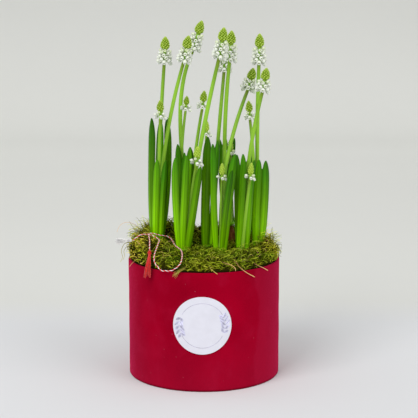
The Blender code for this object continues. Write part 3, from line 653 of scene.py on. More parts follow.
class Builder:
    """Collects points, faces, the two coordinates of each point and the material of each face."""

    def __init__(self):
        self.points, self.uv, self.faces, self.slots = [], [], [], []
        self.count = 0

    def add(self, points, faces, uv=(0.0, 0.0), slot=0):
        """Adds a shape; each of its two coordinates is one number, or a number for each point."""
        points = np.asarray(points, float).reshape(-1, 3)
        self.points.append(points)
        self.uv.append(np.stack([np.broadcast_to(values, len(points)) for values in uv], -1))
        self.faces += [tuple(i + self.count for i in face) for face in faces]
        self.slots += [slot] * len(faces)
        self.count += len(points)

    def take(self, other, matrix):
        """Adds all that another builder holds, moved by the matrix."""
        self.points.append(moved(np.concatenate(other.points), matrix))
        self.uv += other.uv
        self.faces += [tuple(i + self.count for i in face) for face in other.faces]
        self.slots += other.slots
        self.count += other.count

    def put(self, name, materials, nodes=(), sharp=None):
        """Makes the piece, in the object's materials, riding on the body and standing for the nodes."""
        mesh = bpy.data.meshes.new(name)
        mesh.from_pydata((np.concatenate(self.points) * MM).tolist(), [], self.faces)
        layer = mesh.uv_layers.new(name="UVMap")
        corners = np.empty(len(mesh.loops), np.int32)
        mesh.loops.foreach_get("vertex_index", corners)
        layer.data.foreach_set("uv", np.concatenate(self.uv)[corners].astype(np.float32).ravel())
        for material in materials:
            mesh.materials.append(material)
        mesh.polygons.foreach_set("material_index", np.array(self.slots, np.int32))
        mesh.shade_smooth()
        if sharp:
            mesh.set_sharp_from_angle(angle=math.radians(sharp))
        mesh.validate()
        piece = bpy.data.objects.new(name, mesh)
        bpy.context.scene.collection.objects.link(piece)
        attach(piece, BODY)
        if nodes:
            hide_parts(*nodes)
        return piece


def ring_faces(rings, sides, close_start=True, close_end=True):
    """Faces of a tube of rings of points; its ends are closed by one face each."""
    faces = []
    for i in range(rings - 1):
        for j in range(sides):
            k = (j + 1) % sides
            faces.append((i * sides + j, i * sides + k, (i + 1) * sides + k, (i + 1) * sides + j))
    if close_start:
        faces.append(tuple(range(sides))[::-1])
    if close_end:
        faces.append(tuple(range((rings - 1) * sides, rings * sides)))
    return faces


def polar(radius, angle):
    """The point at that distance and angle from the middle."""
    return radius * math.cos(angle), radius * math.sin(angle)


def beside(place, radius, angle):
    """The point that far from a place, at that angle."""
    return place[0] + radius * math.cos(angle), place[1] + radius * math.sin(angle)


def circle(first, second, angles):
    """The directions at these angles round a line, at each of its points."""
    return first[:, None] * np.cos(angles)[None, :, None] + second[:, None] * np.sin(angles)[None, :, None]


def frames_along(points):
    """For each point of a line, its direction and two steady directions square to it."""
    points = np.asarray(points, float)
    ahead = np.gradient(points, axis=0)
    ahead /= np.linalg.norm(ahead, axis=1)[:, None]
    side = np.cross(ahead[0], (0.0, 0.0, 1.0) if abs(ahead[0][2]) < 0.9 else (1.0, 0.0, 0.0))
    sides = []
    for direction in ahead:
        side = side - direction * side.dot(direction)
        side = side / np.linalg.norm(side)
        sides.append(side)
    sides = np.array(sides)
    return ahead, sides, np.cross(ahead, sides)


def tube(builder, points, radii, sides, slot=0, u=0.5, v_range=(0.0, 1.0)):
    """A round tube on a line, with one radius or a radius for each point."""
    points = np.asarray(points, float)
    radii = np.broadcast_to(np.asarray(radii, float), (len(points),))
    _, first, second = frames_along(points)
    angles = np.linspace(0.0, 2.0 * math.pi, sides, endpoint=False)
    rim = circle(first, second, angles) * radii[:, None, None]
    v = np.repeat(np.linspace(*v_range, len(points)), sides)
    builder.add(points[:, None] + rim, ring_faces(len(points), sides), (u, v), slot)


def lathe(profile, sides):
    """Points and faces of a shape turned about +Z; the profile runs from its root (r, z) to its end."""
    angles = np.linspace(0.0, 2.0 * math.pi, sides, endpoint=False)
    rings = [[(*polar(r, a), z) for a in angles] for r, z in profile]
    return np.array(rings).reshape(-1, 3), ring_faces(len(profile), sides)


def bowed(foot, end, bow, t):
    """A point on the stem or leaf that runs from foot to end, t from 0 to 1, bowed in its middle.

    A third number in the bow, above 1, moves the bow up towards the end.
    """
    late = t ** (bow[2] if len(bow) > 2 else 1.0)
    side = Vector((bow[0], bow[1], 0.0)) * (4.0 * late * (1.0 - late))
    return foot.lerp(end, t) + side


def bowed_direction(foot, end, bow, t):
    """The direction of the bowed line at t."""
    power = bow[2] if len(bow) > 2 else 1.0
    rate = power * t ** (power - 1.0) * (4.0 - 8.0 * t ** power)
    return (end - foot + Vector((bow[0], bow[1], 0.0)) * rate).normalized()


def facing_up(direction, spot):
    """A matrix that takes +Z to the direction and the origin to the place."""
    turn = Vector((0, 0, 1)).rotation_difference(Vector(direction)).to_matrix().to_4x4()
    return Matrix.Translation(Vector(spot)) @ turn


def moved(points, matrix):
    """The points after the matrix."""
    turn = np.array(matrix)
    return np.asarray(points) @ turn[:3, :3].T + turn[:3, 3]


# Box and label

def velvet_wall():
    """The box's wall in velvet, finer than the solid: the cloth turns softly over both its edges."""
    outer, inner, top = BOX_RADIUS, BOX_RADIUS - WALL, BOX_HEIGHT
    soft = [math.radians(a) for a in (22, 45, 68, 90)]
    profile = [(inner, 0.0), (outer - 1.0, 0.0)]
    profile += [(outer - 1.0 + math.sin(a), 1.0 - math.cos(a)) for a in soft]
    profile += [(outer, 1.0 + (top - 2.2) * k / 24) for k in range(1, 25)]
    profile += [(outer - 1.0 + math.cos(a), top - 1.2 + 1.2 * math.sin(a)) for a in soft]
    profile += [(outer - 1.7, top - 0.1), (inner, top - 0.6)]
    points, faces = lathe(profile, WALL_SIDES)
    last = (len(profile) - 1) * WALL_SIDES
    inside = [(last + j, last + (j + 1) % WALL_SIDES, (j + 1) % WALL_SIDES, j) for j in range(WALL_SIDES)]
    for i, (x, y, z) in enumerate(points):
        reach = math.hypot(x, y)
        if reach > outer - 1.2:
            away = max(0.0, math.hypot(x - LABEL_CENTRE[0], z - LABEL_CENTRE[1]) - LABEL_RADIUS - 4.0)
            lump = -0.16 + 0.30 * noise.noise(Vector((x, y, 0.8 * z)) / 14.0)
            shift = 1.0 + min(0.0, lump) * min(1.0, away / 10.0) / reach
            points[i] = (x * shift, y * shift, z)
    builder = Builder()
    builder.add(points, faces[:-2] + inside)
    return builder.put("velvet_wall", [finish("velvet", velvet_finish)], ["box_wall"], 60)


def dress(node, material):
    """Puts a material on a solid that shows as it is."""
    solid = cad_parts[node]
    solid.data.materials.clear()
    solid.data.materials.append(material)


def on_wall(x, z, proud):
    """The point of the box's front at these label coordinates, that far out from the wall."""
    radius = BOX_RADIUS + proud
    a = (x + LABEL_CENTRE[0]) / BOX_RADIUS
    return (radius * math.sin(a), -radius * math.cos(a), z + LABEL_CENTRE[1])


def add_patch(builder, outline, proud, thick, slot):
    """A flat outline in label coordinates, laid on the wall as a thin plate."""
    n = len(outline)
    centre = (sum(x for x, _ in outline) / n, sum(z for _, z in outline) / n)
    ring = list(outline) + [centre]
    points = [on_wall(x, z, proud + thick) for x, z in ring] + [on_wall(x, z, proud) for x, z in ring]
    faces = []
    for i in range(n):
        k = (i + 1) % n
        faces += [(i, k, n), (n + 1 + k, n + 1 + i, 2 * n + 1), (i, n + 1 + i, n + 1 + k, k)]
    builder.add(points, faces, slot=slot)


def petal(x, z, angle, length, width):
    """The outline of a small pointed leaf that starts at a point."""
    a = math.radians(angle)
    half = 0.5 * width / length
    sides = [(t, math.sin(math.pi * t) ** 0.8 * half) for t in (0, 0.15, 0.35, 0.55, 0.75, 0.9, 1)]
    sides += [(t, -w) for t, w in sides[-2:0:-1]]
    return [
        (x + length * (t * math.cos(a) - w * math.sin(a)), z + length * (t * math.sin(a) + w * math.cos(a)))
        for t, w in sides
    ]


def arc_strip(radius, start, stop, width):
    """The outer and the inner edge of a thin arc about the label's middle."""
    angles = [math.radians(start + (stop - start) * i / 40) for i in range(41)]
    return [[polar(r, a) for a in angles] for r in (radius + width / 2, radius - width / 2)]


def add_printed_sprig(builder, around, proud):
    """A printed sprig that follows the ring: pairs of pale leaves, each with a darker rib."""
    layer = 0
    for k in range(-2, 3):
        angle = around + 10.0 * k
        x, z = polar(PRINT_RING, math.radians(angle))
        long = 7.0 - 0.9 * abs(k)
        for side in (-42.0, 42.0):
            lean = angle + 90.0 + side
            add_patch(builder, petal(x, z, lean, long, 2.7), proud + 0.01 * layer, INK, 2)
            add_patch(builder, petal(x, z, lean, 0.92 * long, 0.6), proud + INK + 0.01 * layer, INK, 1)
            layer += 1


def paper_label():
    """A round plate of paper bent to the wall, with two arcs and two sprigs printed on it."""
    sides, rings = LABEL_SIDES, LABEL_RINGS
    low = GAP + 0.02
    proud = low + LABEL_THICK - 0.04
    spokes = [2 * math.pi * j / sides for j in range(sides)]
    flat = [polar(LABEL_RADIUS * i / rings, a) for i in range(rings + 1) for a in spokes]
    under = len(flat)
    faces = []
    for quad in ring_faces(rings + 1, sides, False, False)[sides:]:
        faces += [(quad[0], *quad[:0:-1]), tuple(v + under for v in quad)]
    for j in range(sides):
        k = (j + 1) % sides
        a, b = rings * sides + j, rings * sides + k
        faces += [(0, sides + j, sides + k), (under, under + sides + k, under + sides + j)]
        faces.append((a, a + under, b + under, b))
    builder = Builder()
    builder.add([on_wall(x, z, level) for level in (proud, low) for x, z in flat], faces)
    for start, stop in PRINT_ARCS:
        outer, inner = arc_strip(PRINT_RING, start, stop, 0.32)
        for i in range(len(outer) - 1):
            add_patch(builder, [outer[i], outer[i + 1], inner[i + 1], inner[i]], proud, INK, 1)
    for around in (0.0, 180.0):
        add_printed_sprig(builder, around, proud)
    c = colours()
    inks = (("print", c.print_ink), ("pale_print", c.pale_ink))
    materials = [finish("paper", paper_finish)]
    materials += [finish(name, ink_finish, name, tuple(ink)) for name, ink in inks]
    return builder.put("paper_label", materials, ["label"], 40)


# Moss

def moss_rise(x, y):
    """How much higher than MOSS_TOP the moss stands at a point, as in the solid."""
    radius = math.hypot(x, y)
    left = 7.5 * max(0.0, min(1.0, (-x - 22.0) / 24.0)) * max(0.0, min(1.0, (y + 60.0) / 40.0))
    front = max(0.0, min(1.0, (-y - 10.0) / 30.0))
    rim = 5.0 * math.exp(-(((radius - 60.0) / 11.0) ** 2)) * (1.0 - 1.1 * front)
    back = 4.0 * max(0.0, min(1.0, (y - 22.0) / 25.0))
    lumps = 2.4 * noise.noise(Vector((x, y, 3.0)) / 11.0) + 1.3 * noise.noise(Vector((x, y, 9.0)) / 5.0)
    return left + rim + back + lumps


def moss_height(x, y):
    """The height of the moss at a point, for its mound and its sprigs."""
    radius = math.hypot(x, y)
    drop = np.interp(radius, [r for r, _ in MOSS_EDGE], [z for _, z in MOSS_EDGE])
    low = BOX_HEIGHT + 1.0
    z = MOSS_TOP + drop
    share = min(1.0, max(0.0, (z - low) / (MOSS_TOP - low)))
    return z + share * moss_rise(x, y)


def moss_mound():
    """The heart of the moss, painted near black as the shade among the sprigs, lower than the solid and
    clear of the velvet's rim, under the sprigs.
    """
    spokes = [2.0 * math.pi * j / MOUND_SIDES for j in range(MOUND_SIDES)]
    inside = BOX_RADIUS - WALL - 0.6
    skirt = ((inside, 99.0), (inside, BOX_HEIGHT + 0.3), (MOUND_RADII[0], BOX_HEIGHT + 0.4))
    points = [(*polar(radius, a), height) for radius, height in skirt for a in spokes]
    for x, y in (polar(radius, a) for radius in MOUND_RADII for a in spokes):
        rough = 1.1 * noise.noise(Vector((x, y, 20.0)) / 2.4)
        points.append((x, y, max(BOX_HEIGHT + 0.8, moss_height(x, y) - MOUND_SUNK + rough)))
    rings = len(skirt) + len(MOUND_RADII) - 1
    centre = rings * MOUND_SIDES
    inmost = centre - MOUND_SIDES
    faces = ring_faces(rings, MOUND_SIDES, True, False)
    faces += [(inmost + j, inmost + (j + 1) % MOUND_SIDES, centre) for j in range(MOUND_SIDES)]
    builder = Builder()
    builder.add(points[: centre + 1], faces, (0.4, 0.16))
    # Painted shade: the mound is near black, standing for the shade deep among the sprigs.
    material = finish("moss_heart", moss_finish, "moss_heart", (0.060, 0.055, 0.007))
    return builder.put("moss_mound", [material], ["moss"])


def moss_tufts():
    """The tufts that the moss grows in, a tuft's width apart: place, and how much each swells."""
    random = np.random.default_rng(5)
    tufts = []
    for _ in range(5000):
        a, radius = random.uniform(0, 2 * math.pi), 67.0 * math.sqrt(random.random())
        x, y = polar(radius, a)
        if all(math.hypot(x - tx, y - ty) > TUFT_SPACING for tx, ty, _ in tufts):
            tufts.append((x, y, random.uniform(0.45, 1.15)))
    return tufts + 2 * list(TALL_TUFTS)


def moss_tone(x, y):
    """The strands' tone from 0, fresh green, to 1, dry brown, by where they grow."""
    tone = 0.40 + 0.34 * noise.noise(Vector((x, y, 50.0)) / 13.0)
    for cx, cy, reach, change in MOSS_TONES:
        tone += change * math.exp(-((x - cx) ** 2 + (y - cy) ** 2) / reach ** 2)
    return tone


def laid_on_moss():
    """What lies on the moss, as points with the distance that the sprigs keep from each."""
    rows = [(*p, 1.7) for p in smooth_route(twine_route(), 1.0)]
    for (x, y, z), radius in zip(RED_TASSEL, TASSEL_RADII):
        rows.append((x, y, z, radius + 1.2))
    return np.array(rows)


def keeps_clear(line, clear, random):
    """Whether a strand neither covers the twine nor hides the velvet's rim."""
    flat = np.hypot(line[:, None, 0] - clear[None, :, 0], line[:, None, 1] - clear[None, :, 1])
    if np.any((flat < clear[None, :, 3]) & (line[:, None, 2] > clear[None, :, 2] - 1.6)):
        return False
    reach, level = np.hypot(line[:, 0], line[:, 1]), line[:, 2]
    over_rim = (reach > BOX_RADIUS + 0.3) & (level < BOX_HEIGHT + 3.0) | (level < BOX_HEIGHT + 0.5)
    if over_rim.any() and random.random() > 0.03:
        return False
    return reach.max() < BOX_RADIUS + 2.8 and level.min() > BOX_HEIGHT - 5.0


def rim_strand(usual, random):
    """A short strand that lies along the moss's side, from the velvet's rim up to its top."""
    a, sign = random.uniform(0, 2 * math.pi), 1 if random.random() < 0.5 else -1
    outward = np.array((*polar(1.0, a), 0.0))
    radius, low = random.uniform(60.0, 70.0), BOX_HEIGHT + 1.1
    top = max(low, moss_height(*polar(radius, a)) - MOUND_SUNK + 0.2)
    if radius > 67.0:
        radius, top = 69.9, low + random.random() * (top + 1.0 - low)
    start = outward * radius + np.array((0.0, 0.0, top))
    lean = np.cross(outward, (0.0, 0.0, sign)) + outward * random.uniform(-0.1, 0.35)
    lean[2] += random.uniform(-0.1, 0.9)
    lean /= np.linalg.norm(lean)
    return curled_line(start, lean, usual * random.uniform(0.4, 0.9), random.uniform(0.5, 2.6), random)


def curled_line(start, lean, length, curl, random, count=7):
    """A strand that sets off along lean and turns through curl radians, with its directions."""
    side = np.cross(lean, (0.0, 0.0, 1.0))
    side = side / max(np.linalg.norm(side), 1e-6)
    up = np.cross(side, lean)
    sway = random.uniform(-1.2, 1.2)
    bend = sway * side - up * random.uniform(0.2, 1.0)
    bend = bend / np.linalg.norm(bend)
    turn = curl * np.linspace(0.0, 1.0, count)[:, None]
    ahead = lean * np.cos(turn) + bend * np.sin(turn)
    steps = ahead * (length / (count - 1))
    line = start + np.concatenate([np.zeros((1, 3)), np.cumsum(steps[:-1], axis=0)])
    return line, ahead, side


def add_sprig(builder, line, ahead, side, thick, tone, random):
    """One moss sprig on a line: a three-sided stem with short leaflets that point forward."""
    count = len(line)
    t = np.linspace(0.0, 1.0, count)
    up = np.cross(side, ahead)
    up /= np.linalg.norm(up, axis=1)[:, None]
    across = np.cross(ahead, up)
    rim = circle(across, up, np.array((0.0, 2.094, 4.189)))
    points = line[:, None] + rim * (thick * (1.0 - 0.7 * t))[:, None, None]
    builder.add(points, ring_faces(count, 3), (tone, np.repeat(t, 3)))
    length = np.linalg.norm(np.diff(line, axis=0), axis=1).sum()
    leaflets = max(4, int(length / LEAFLET_SPACING))
    s = np.linspace(0.15, 1.0, leaflets)
    at, way, a, b = (
        np.stack([np.interp(s, t, row[:, k]) for k in range(3)], -1) for row in (line, ahead, across, up)
    )
    turn = np.arange(leaflets) * 2.2 + random.uniform(0, 6.28)
    out = a * np.cos(turn)[:, None] + b * np.sin(turn)[:, None]
    long = (random.uniform(0.6, 1.1, leaflets) * (1.15 - 0.5 * s))[:, None]
    wide = way * 0.24
    corners = np.stack([
        at - wide, at + wide, at + (way * 0.9 + out * 0.62) * long,
        at + np.cross(way, out) * 0.2 + out * 0.12,
    ], 1)
    faces = []
    for i in range(0, 4 * leaflets, 4):
        faces += [(i, i + 1, i + 3), (i + 1, i + 2, i + 3), (i + 2, i, i + 3), (i, i + 2, i + 1)]
    v = np.stack([s, s, np.minimum(1.0, s + 0.3), s], 1).ravel()
    builder.add(corners, faces, (tone, v))


def clear_of_plants(x, y):
    """Whether a point is clear of every bulb."""
    return all(math.hypot(x - p["at"][0], y - p["at"][1]) > BARE_ROUND_PLANT for p in PLANTS.values())


def tuft_strand(tuft, usual, lift, random):
    """A strand that springs out of its tuft and curls over, or None where it has no room."""
    swell = tuft[2]
    a, share = random.uniform(0, 2 * math.pi), math.sqrt(random.random())
    x, y = beside(tuft, TUFT_RADIUS * share, a)
    if math.hypot(x, y) > MOSS_REACH - 3.0 or not clear_of_plants(x, y):
        return None
    spread = share * random.uniform(0.5, 1.5)
    stands = swell > 1.5
    rise = random.uniform(1.0, 1.8) if stands else random.uniform(0.25, 1.1)
    lean = np.array((*polar(spread, a), rise))
    lean += random.normal(0, 0.28, 3)
    lean[2] = abs(lean[2])
    rim = max(0.0, (math.hypot(x, y) - 60.0) / 9.0)
    lean += rim * np.array((0.7 * x / 70.0, 0.7 * y / 70.0, -0.35))
    lean /= np.linalg.norm(lean)
    length = usual * random.uniform(0.55, 1.35) * (0.6 + 0.6 * swell)
    lifted = lift * swell * (1.0 - share) * (1.0 - 0.6 * min(1.0, rim))
    root = moss_height(x, y) - MOUND_SUNK - 0.4 + lifted
    start = np.array((x, y, max(BOX_HEIGHT + 0.9, root)))
    curl = random.uniform(0.8, 2.6) if stands else random.uniform(1.0, 4.2)
    return curled_line(start, lean, length, curl, random)


def moss_sprigs(shade, colour, seed, lift, share_of_all, clear):
    """One shade of the sprigs: in the tufts, and along the moss's side."""
    random = np.random.default_rng(seed)
    builder = Builder()
    usual = sizes().sprig / MM
    wanted = int(share_of_all * sizes().sprigs)
    tufts = moss_tufts()
    made = tried = 0
    while made < wanted and tried < 6 * wanted:
        tried += 1
        if random.random() < RIM_SHARE:
            strand, thick = rim_strand(usual, random), (0.24, 0.38)
        else:
            tuft = tufts[int(random.integers(len(tufts)))]
            strand, thick = tuft_strand(tuft, usual, lift, random), (0.20, 0.33)
        if strand is None or not keeps_clear(strand[0], clear, random):
            continue
        made += 1
        tone = moss_tone(*strand[0][0][:2]) + random.normal(0, 0.10)
        add_sprig(builder, *strand, random.uniform(*thick), tone, random)
    material = finish("moss_" + shade, moss_finish, "moss_" + shade, colour)
    return builder.put("moss_sprigs_" + shade, [material])


def wiry_strands(clear):
    """Thin dry threads that curl over the moss, and the loose ones that hang over the rim."""
    random = np.random.default_rng(77)
    builder = Builder()
    made = 0
    while made < CURLED_THREADS:
        a, radius = random.uniform(0, 2 * math.pi), random.uniform(40, 68)
        x, y = polar(radius, a)
        start = np.array((x, y, moss_height(x, y) - 1.0))
        lean = np.array((*polar(1.0, a), 0.0)) * random.uniform(-0.3, 0.9) + random.normal(0, 0.5, 3)
        lean[2] = abs(lean[2]) + 0.5
        lean /= np.linalg.norm(lean)
        line, _, _ = curled_line(start, lean, random.uniform(8, 16), random.uniform(1.5, 3.6), random, 14)
        if not clear_of_plants(x, y) or not keeps_clear(line, clear, random):
            continue
        line[:, 2] = np.maximum(line[:, 2], BOX_HEIGHT + 1.2)
        made += 1
        slot = int(random.random() < 0.35)
        tube(builder, line, np.linspace(0.20, 0.09, len(line)), 3, slot, moss_tone(x, y))
    for points, radius, dry in LOOSE_STRANDS:
        line = smooth_route([Vector(p) for p in points], 0.8)
        tube(builder, line, np.linspace(radius, 0.6 * radius, len(line)), 5, int(dry), 0.5)
    for points in LOOSE_SPRIGS:
        line = np.array(smooth_route([Vector(p) for p in points], 0.9))
        ahead, side, _ = frames_along(line)
        for _ in range(3):
            shifted = line + random.normal(0, 0.5, 3) * np.linspace(0.4, 1.4, len(line))[:, None]
            add_sprig(builder, shifted, ahead, side[0], 0.28, 0.5, random)
    threads = (("moss_thread", (0.36, 0.34, 0.06)), ("moss_dry", (0.54, 0.33, 0.12)))
    materials = [finish(name, moss_finish, name, colour) for name, colour in threads]
    return builder.put("moss_threads", materials)


# Plants

def leaf_width(width, t):
    """The width at t from the foot, a little narrower there and rounded at the tip."""
    foot = min(1.0, 0.72 + 1.2 * t)
    if t <= LEAF_TIP_START:
        return width * foot
    along = (t - LEAF_TIP_START) / (1.0 - LEAF_TIP_START)
    return width * max(0.0, 1.0 - along ** 2.1) ** 0.62


def add_leaf(builder, plant, leaf, random, slot):
    """A strap with a rounded channel, thick in the middle and thin at its edges."""
    angle, tip, width, bow = leaf
    side = math.radians(angle)
    straight = math.copysign(math.pi / 2.0, side)
    facing = straight + LEAF_TURN * (side - straight)
    across = Vector((-math.sin(facing), math.cos(facing), 0.0))
    low = max(plant["sheath"] - 5.0, plant["neck"] + GAP + 1.2)
    foot = Vector((*beside(plant["at"], SHEATH_RADIUS - 1.0, side), low))
    tip = Vector(tip)
    wobble, phase = random.uniform(0.1, 0.35), random.uniform(0, 6.28)
    green_by, green_from = random.uniform(0.75, 1.05), random.uniform(-0.10, 0.06)
    ring = [(s, 1.0) for s in LEAF_COLUMNS] + [(s, -1.0) for s in LEAF_COLUMNS[-2:0:-1]]
    points, uv = [], []
    for t in LEAF_STATIONS:
        along = bowed_direction(foot, tip, bow, t)
        wide = (across - along * across.dot(along)).normalized()
        inward = along.cross(wide)
        half = leaf_width(width, t) / 2.0
        centre = bowed(foot, tip, bow, t) + inward * (wobble * math.sin(phase + 7.0 * t))
        thick = LEAF_THICK * min(1.0, 0.35 + half / 3.0)
        for s, face in ring:
            skin = 0.5 * thick * math.sqrt(max(0.0, 1.0 - s * s)) * face
            depth = abs(s) ** 1.5 * half * 2.0 * LEAF_CHANNEL
            points.append(centre + wide * (s * half) + inward * (depth + skin))
            uv.append((0.5 + 0.5 * s, min(1.0, max(0.0, green_by * t + green_from))))
    faces = [face[::-1] for face in ring_faces(len(LEAF_STATIONS), len(ring))]
    builder.add(points, faces, np.transpose(uv), slot)


def leaf_tuft(key, plant):
    """The leaves of one plant, in one green and its painted lit and painted shaded copies, and the sheath
    at their feet.
    """
    random = np.random.default_rng(ord(key))
    builder = Builder()
    for number, leaf in enumerate(plant["leaves"]):
        add_leaf(builder, plant, leaf, random, (0, 2, 1)[(number + ord(key)) % 3])
    low, high = plant["neck"] + GAP, plant["sheath"]
    outline = ((0.66, low), (0.9, low + 2.0), (1.0, high - 3.0), (0.8, high - 1.0), (0.3, high - 0.6))
    points, faces = lathe([(share * SHEATH_RADIUS, z) for share, z in outline], 20)
    builder.add(points + np.array((*plant["at"], 0.0)), faces, (0.5, 0.02))
    # Painted light and shade: the plain leaf finish, a lighter copy and a darker copy.
    shades = (("leaf", 1.0), ("leaf_light", 1.22), ("leaf_deep", 0.74))
    materials = [finish(name, leaf_finish, name, bright) for name, bright in shades]
    return builder.put(f"leaf_tuft_{key}", materials, [f"leaves_{key}"], 70)


def scape_foot(plant, angle):
    """Where a stalk leaves its bulb."""
    foot = beside(plant["at"], SCAPE_FOOT_CIRCLE, math.radians(angle))
    return Vector((*foot, plant["neck"] + 2.0 * GAP))


def head_matrix(plant, scape):
    """Takes the head's own axes, its direction as +Z, to their place: it stands up a little again."""
    angle, neck, bow, _ = scape
    along = bowed_direction(scape_foot(plant, angle), Vector(neck), bow, 1.0)
    return facing_up(along.lerp(Vector((0, 0, 1)), HEAD_LIFT), neck)


def cone_radius(stage, up):
    """The radius of the cone of buds, up from 0 to 1."""
    return stage["cone"] * np.interp(up * 6.0, range(7), CONE_PROFILE)


def add_buds(builder, stage, random):
    """The cone: closed buds that overlap in a spiral over a core, smaller and steeper to the top."""
    low, high = stage["skirt"] - HEAD_LAP + GAP, stage["length"]
    core = [
        (0.74 * cone_radius(stage, up), low + up * (high - low - 0.8))
        for up in (0.04, 0.17, 0.33, 0.5, 0.67, 0.83, 0.96)
    ]
    points, faces = lathe(core, 12)
    builder.add(points, faces, (0.0, 0.1), 1)
    count = stage["buds"]
    for i in range(count):
        up = 0.03 + 0.93 * (i + 0.5) / count
        size = (1.5 - 0.75 * up) * stage["cone"] / 4.6
        turn = Matrix.Rotation(i * GOLDEN_ANGLE + random.uniform(-0.12, 0.12), 4, "Z")
        lift = math.radians(26.0 + 56.0 * up + random.uniform(-7, 7))
        length = 2.1 * size
        radius = max(0.0, 1.04 * float(cone_radius(stage, up)) - length * math.cos(lift))
        out = turn @ Matrix.Translation(Vector((radius, 0, low + up * (high - low - 1.6))))
        out = out @ Matrix.Rotation(math.pi / 2 - lift, 4, "Y")
        points, faces = lathe([(max(r, 0.02) * size * 0.78, z * length) for r, z in EGG], 7)
        v = np.repeat([z for _, z in EGG], 7)
        builder.add(moved(points, out), faces, (up, v), 1)


def scape_piece(name, plant, scape):
    """A stalk, its rachis and its cone of buds."""
    random = np.random.default_rng(sum(ord(c) for c in name))
    angle, neck, bow, stage_name = scape
    stage = STAGES[stage_name]
    stem = stage["stem"]
    foot, end = scape_foot(plant, angle), Vector(neck)
    t = np.linspace(0.0, 1.0, 30)
    line = [bowed(foot, end, bow, s) for s in t]
    thick = (SCAPE_FOOT_RADIUS, 1.68, 0.96 * stem, stem, 0.86 * stem)
    builder = Builder()
    tube(builder, line, np.interp(t, (0.0, 0.14, 0.34, 0.78, 1.0), thick), 14)
    head = Builder()
    rachis = [(0, 0, z) for z in (-0.2, 0.6, 1.2, stage["skirt"])]
    tube(head, rachis, (0.8 * stem, 0.72 * stem, RACHIS_RADIUS, RACHIS_RADIUS), 10, 0, 0.5, (0.6, 0.8))
    add_buds(head, stage, random)
    builder.take(head, head_matrix(plant, scape))
    bud = "pale_bud" if name in PALE_HEADS else "bud"
    buds = finish(bud, bud_finish, bud, tuple(getattr(colours(), bud)))
    materials = [finish("scape", scape_finish), buds]
    return builder.put(f"stalk_{name}", materials, [f"scape_{name}"], 75)


def bells_piece(name, plant, scape):
    """The open bells of one head, in a spiral round its rachis, each on a short green stalk."""
    random = np.random.default_rng(3 * sum(ord(c) for c in name) + 1)
    stage = STAGES[scape[3]]
    low, high = 1.2, stage["skirt"] - 0.8
    count = stage["bells"]
    scale = stage["reach"] / STAGES["tall"]["reach"]
    length = sizes().bell / MM * (0.45 + 0.55 * scale)
    whorl = Builder()
    for i in range(count):
        share = i / (count - 1)
        height = low + 1.2 + share * (high - low - 1.4)
        turn = i * GOLDEN_ANGLE + random.uniform(-0.15, 0.15)
        droop = math.radians(42.0 - 62.0 * share + random.uniform(-10, 10))
        small = 1.0 - 0.26 * share
        stalk = (2.6 - 1.0 * share) * scale + random.uniform(-0.2, 0.4)
        ahead = Vector((math.cos(0.2), 0.0, 0.2))
        line = [ahead * (stalk * s) + Vector((0, 0, -0.25 * stalk * s * s)) for s in (0.0, 0.5, 1.0)]
        bell = Builder()
        tube(bell, line, (0.36, 0.30, 0.42), 5, 0, share, (0.0, 0.1))
        turned = Matrix.Translation(line[-1]) @ Matrix.Rotation(math.pi / 2 + droop, 4, "Y")
        points, faces = lathe([(r * 0.45 * length * small, z * length * small) for r, z in BELL], 9)
        v = np.repeat(np.concatenate([np.linspace(0.12, 1.0, 8), (0.95, 0.5, 0.1)]), 9)
        bell.add(moved(points, turned), faces, (share, v))
        start = Matrix.Translation(Vector((RACHIS_RADIUS - 0.2, 0, height)))
        whorl.take(bell, Matrix.Rotation(turn, 4, "Z") @ start)
    builder = Builder()
    builder.take(whorl, head_matrix(plant, scape))
    return builder.put(f"bells_{name}", [finish("bell", bell_finish)], [f"florets_{name}"], 75)


# Twine and tassels

def smooth_route(points, spacing):
    """Points about that far apart, evenly, on the smooth curve through the given ones."""
    dense = []
    count, steps = len(points), 16
    for i in range(count - 1):
        before, a, b, after = (points[max(0, min(count - 1, i + k))] for k in (-1, 0, 1, 2))
        for step in range(steps):
            t = step / steps
            dense.append(0.5 * (
                2 * a + (b - before) * t + (2 * before - 5 * a + 4 * b - after) * t ** 2
                + (3 * a - before - 3 * b + after) * t ** 3
            ))
    dense.append(points[-1])
    lengths = [0.0]
    for a, b in zip(dense, dense[1:]):
        lengths.append(lengths[-1] + (b - a).length)
    pieces = round(lengths[-1] / spacing)
    route, k = [], 0
    for i in range(pieces + 1):
        at = lengths[-1] * i / pieces
        while k < len(dense) - 2 and lengths[k + 1] < at:
            k += 1
        share = (at - lengths[k]) / (lengths[k + 1] - lengths[k])
        route.append(dense[k].lerp(dense[k + 1], share))
    return route


def moss_surface():
    """The height of the solid moss under a round patch of twine, in millimetres."""
    tree = BVHTree.FromObject(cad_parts["moss"], bpy.context.evaluated_depsgraph_get())
    ring = [Vector((*polar(1.0, a), 0.0)) for a in (0.0, 1.05, 2.09, 3.14, 4.19, 5.24)]

    def height(x, y):
        found = []
        for reach in (0.0, 1.0, 2.2):
            for side in ring:
                start = Vector((x, y, 200.0)) + side * reach
                hit = tree.ray_cast(start * MM, Vector((0, 0, -1)))[0]
                found.append(hit.z / MM if hit else BOX_HEIGHT)
        return max(found)

    return height


def twine_route():
    """The middle of the twine, seated on the moss."""
    height = moss_surface()
    seat = TWINE_RADIUS + GAP
    through = [Vector((x, y, height(x, y) + seat + lift)) for x, y, lift in TWINE_ROUTE]
    route = smooth_route(through, TWINE_SPACING)
    for point in route:
        point.z = max(point.z, height(point.x, point.y) + seat)
    return route


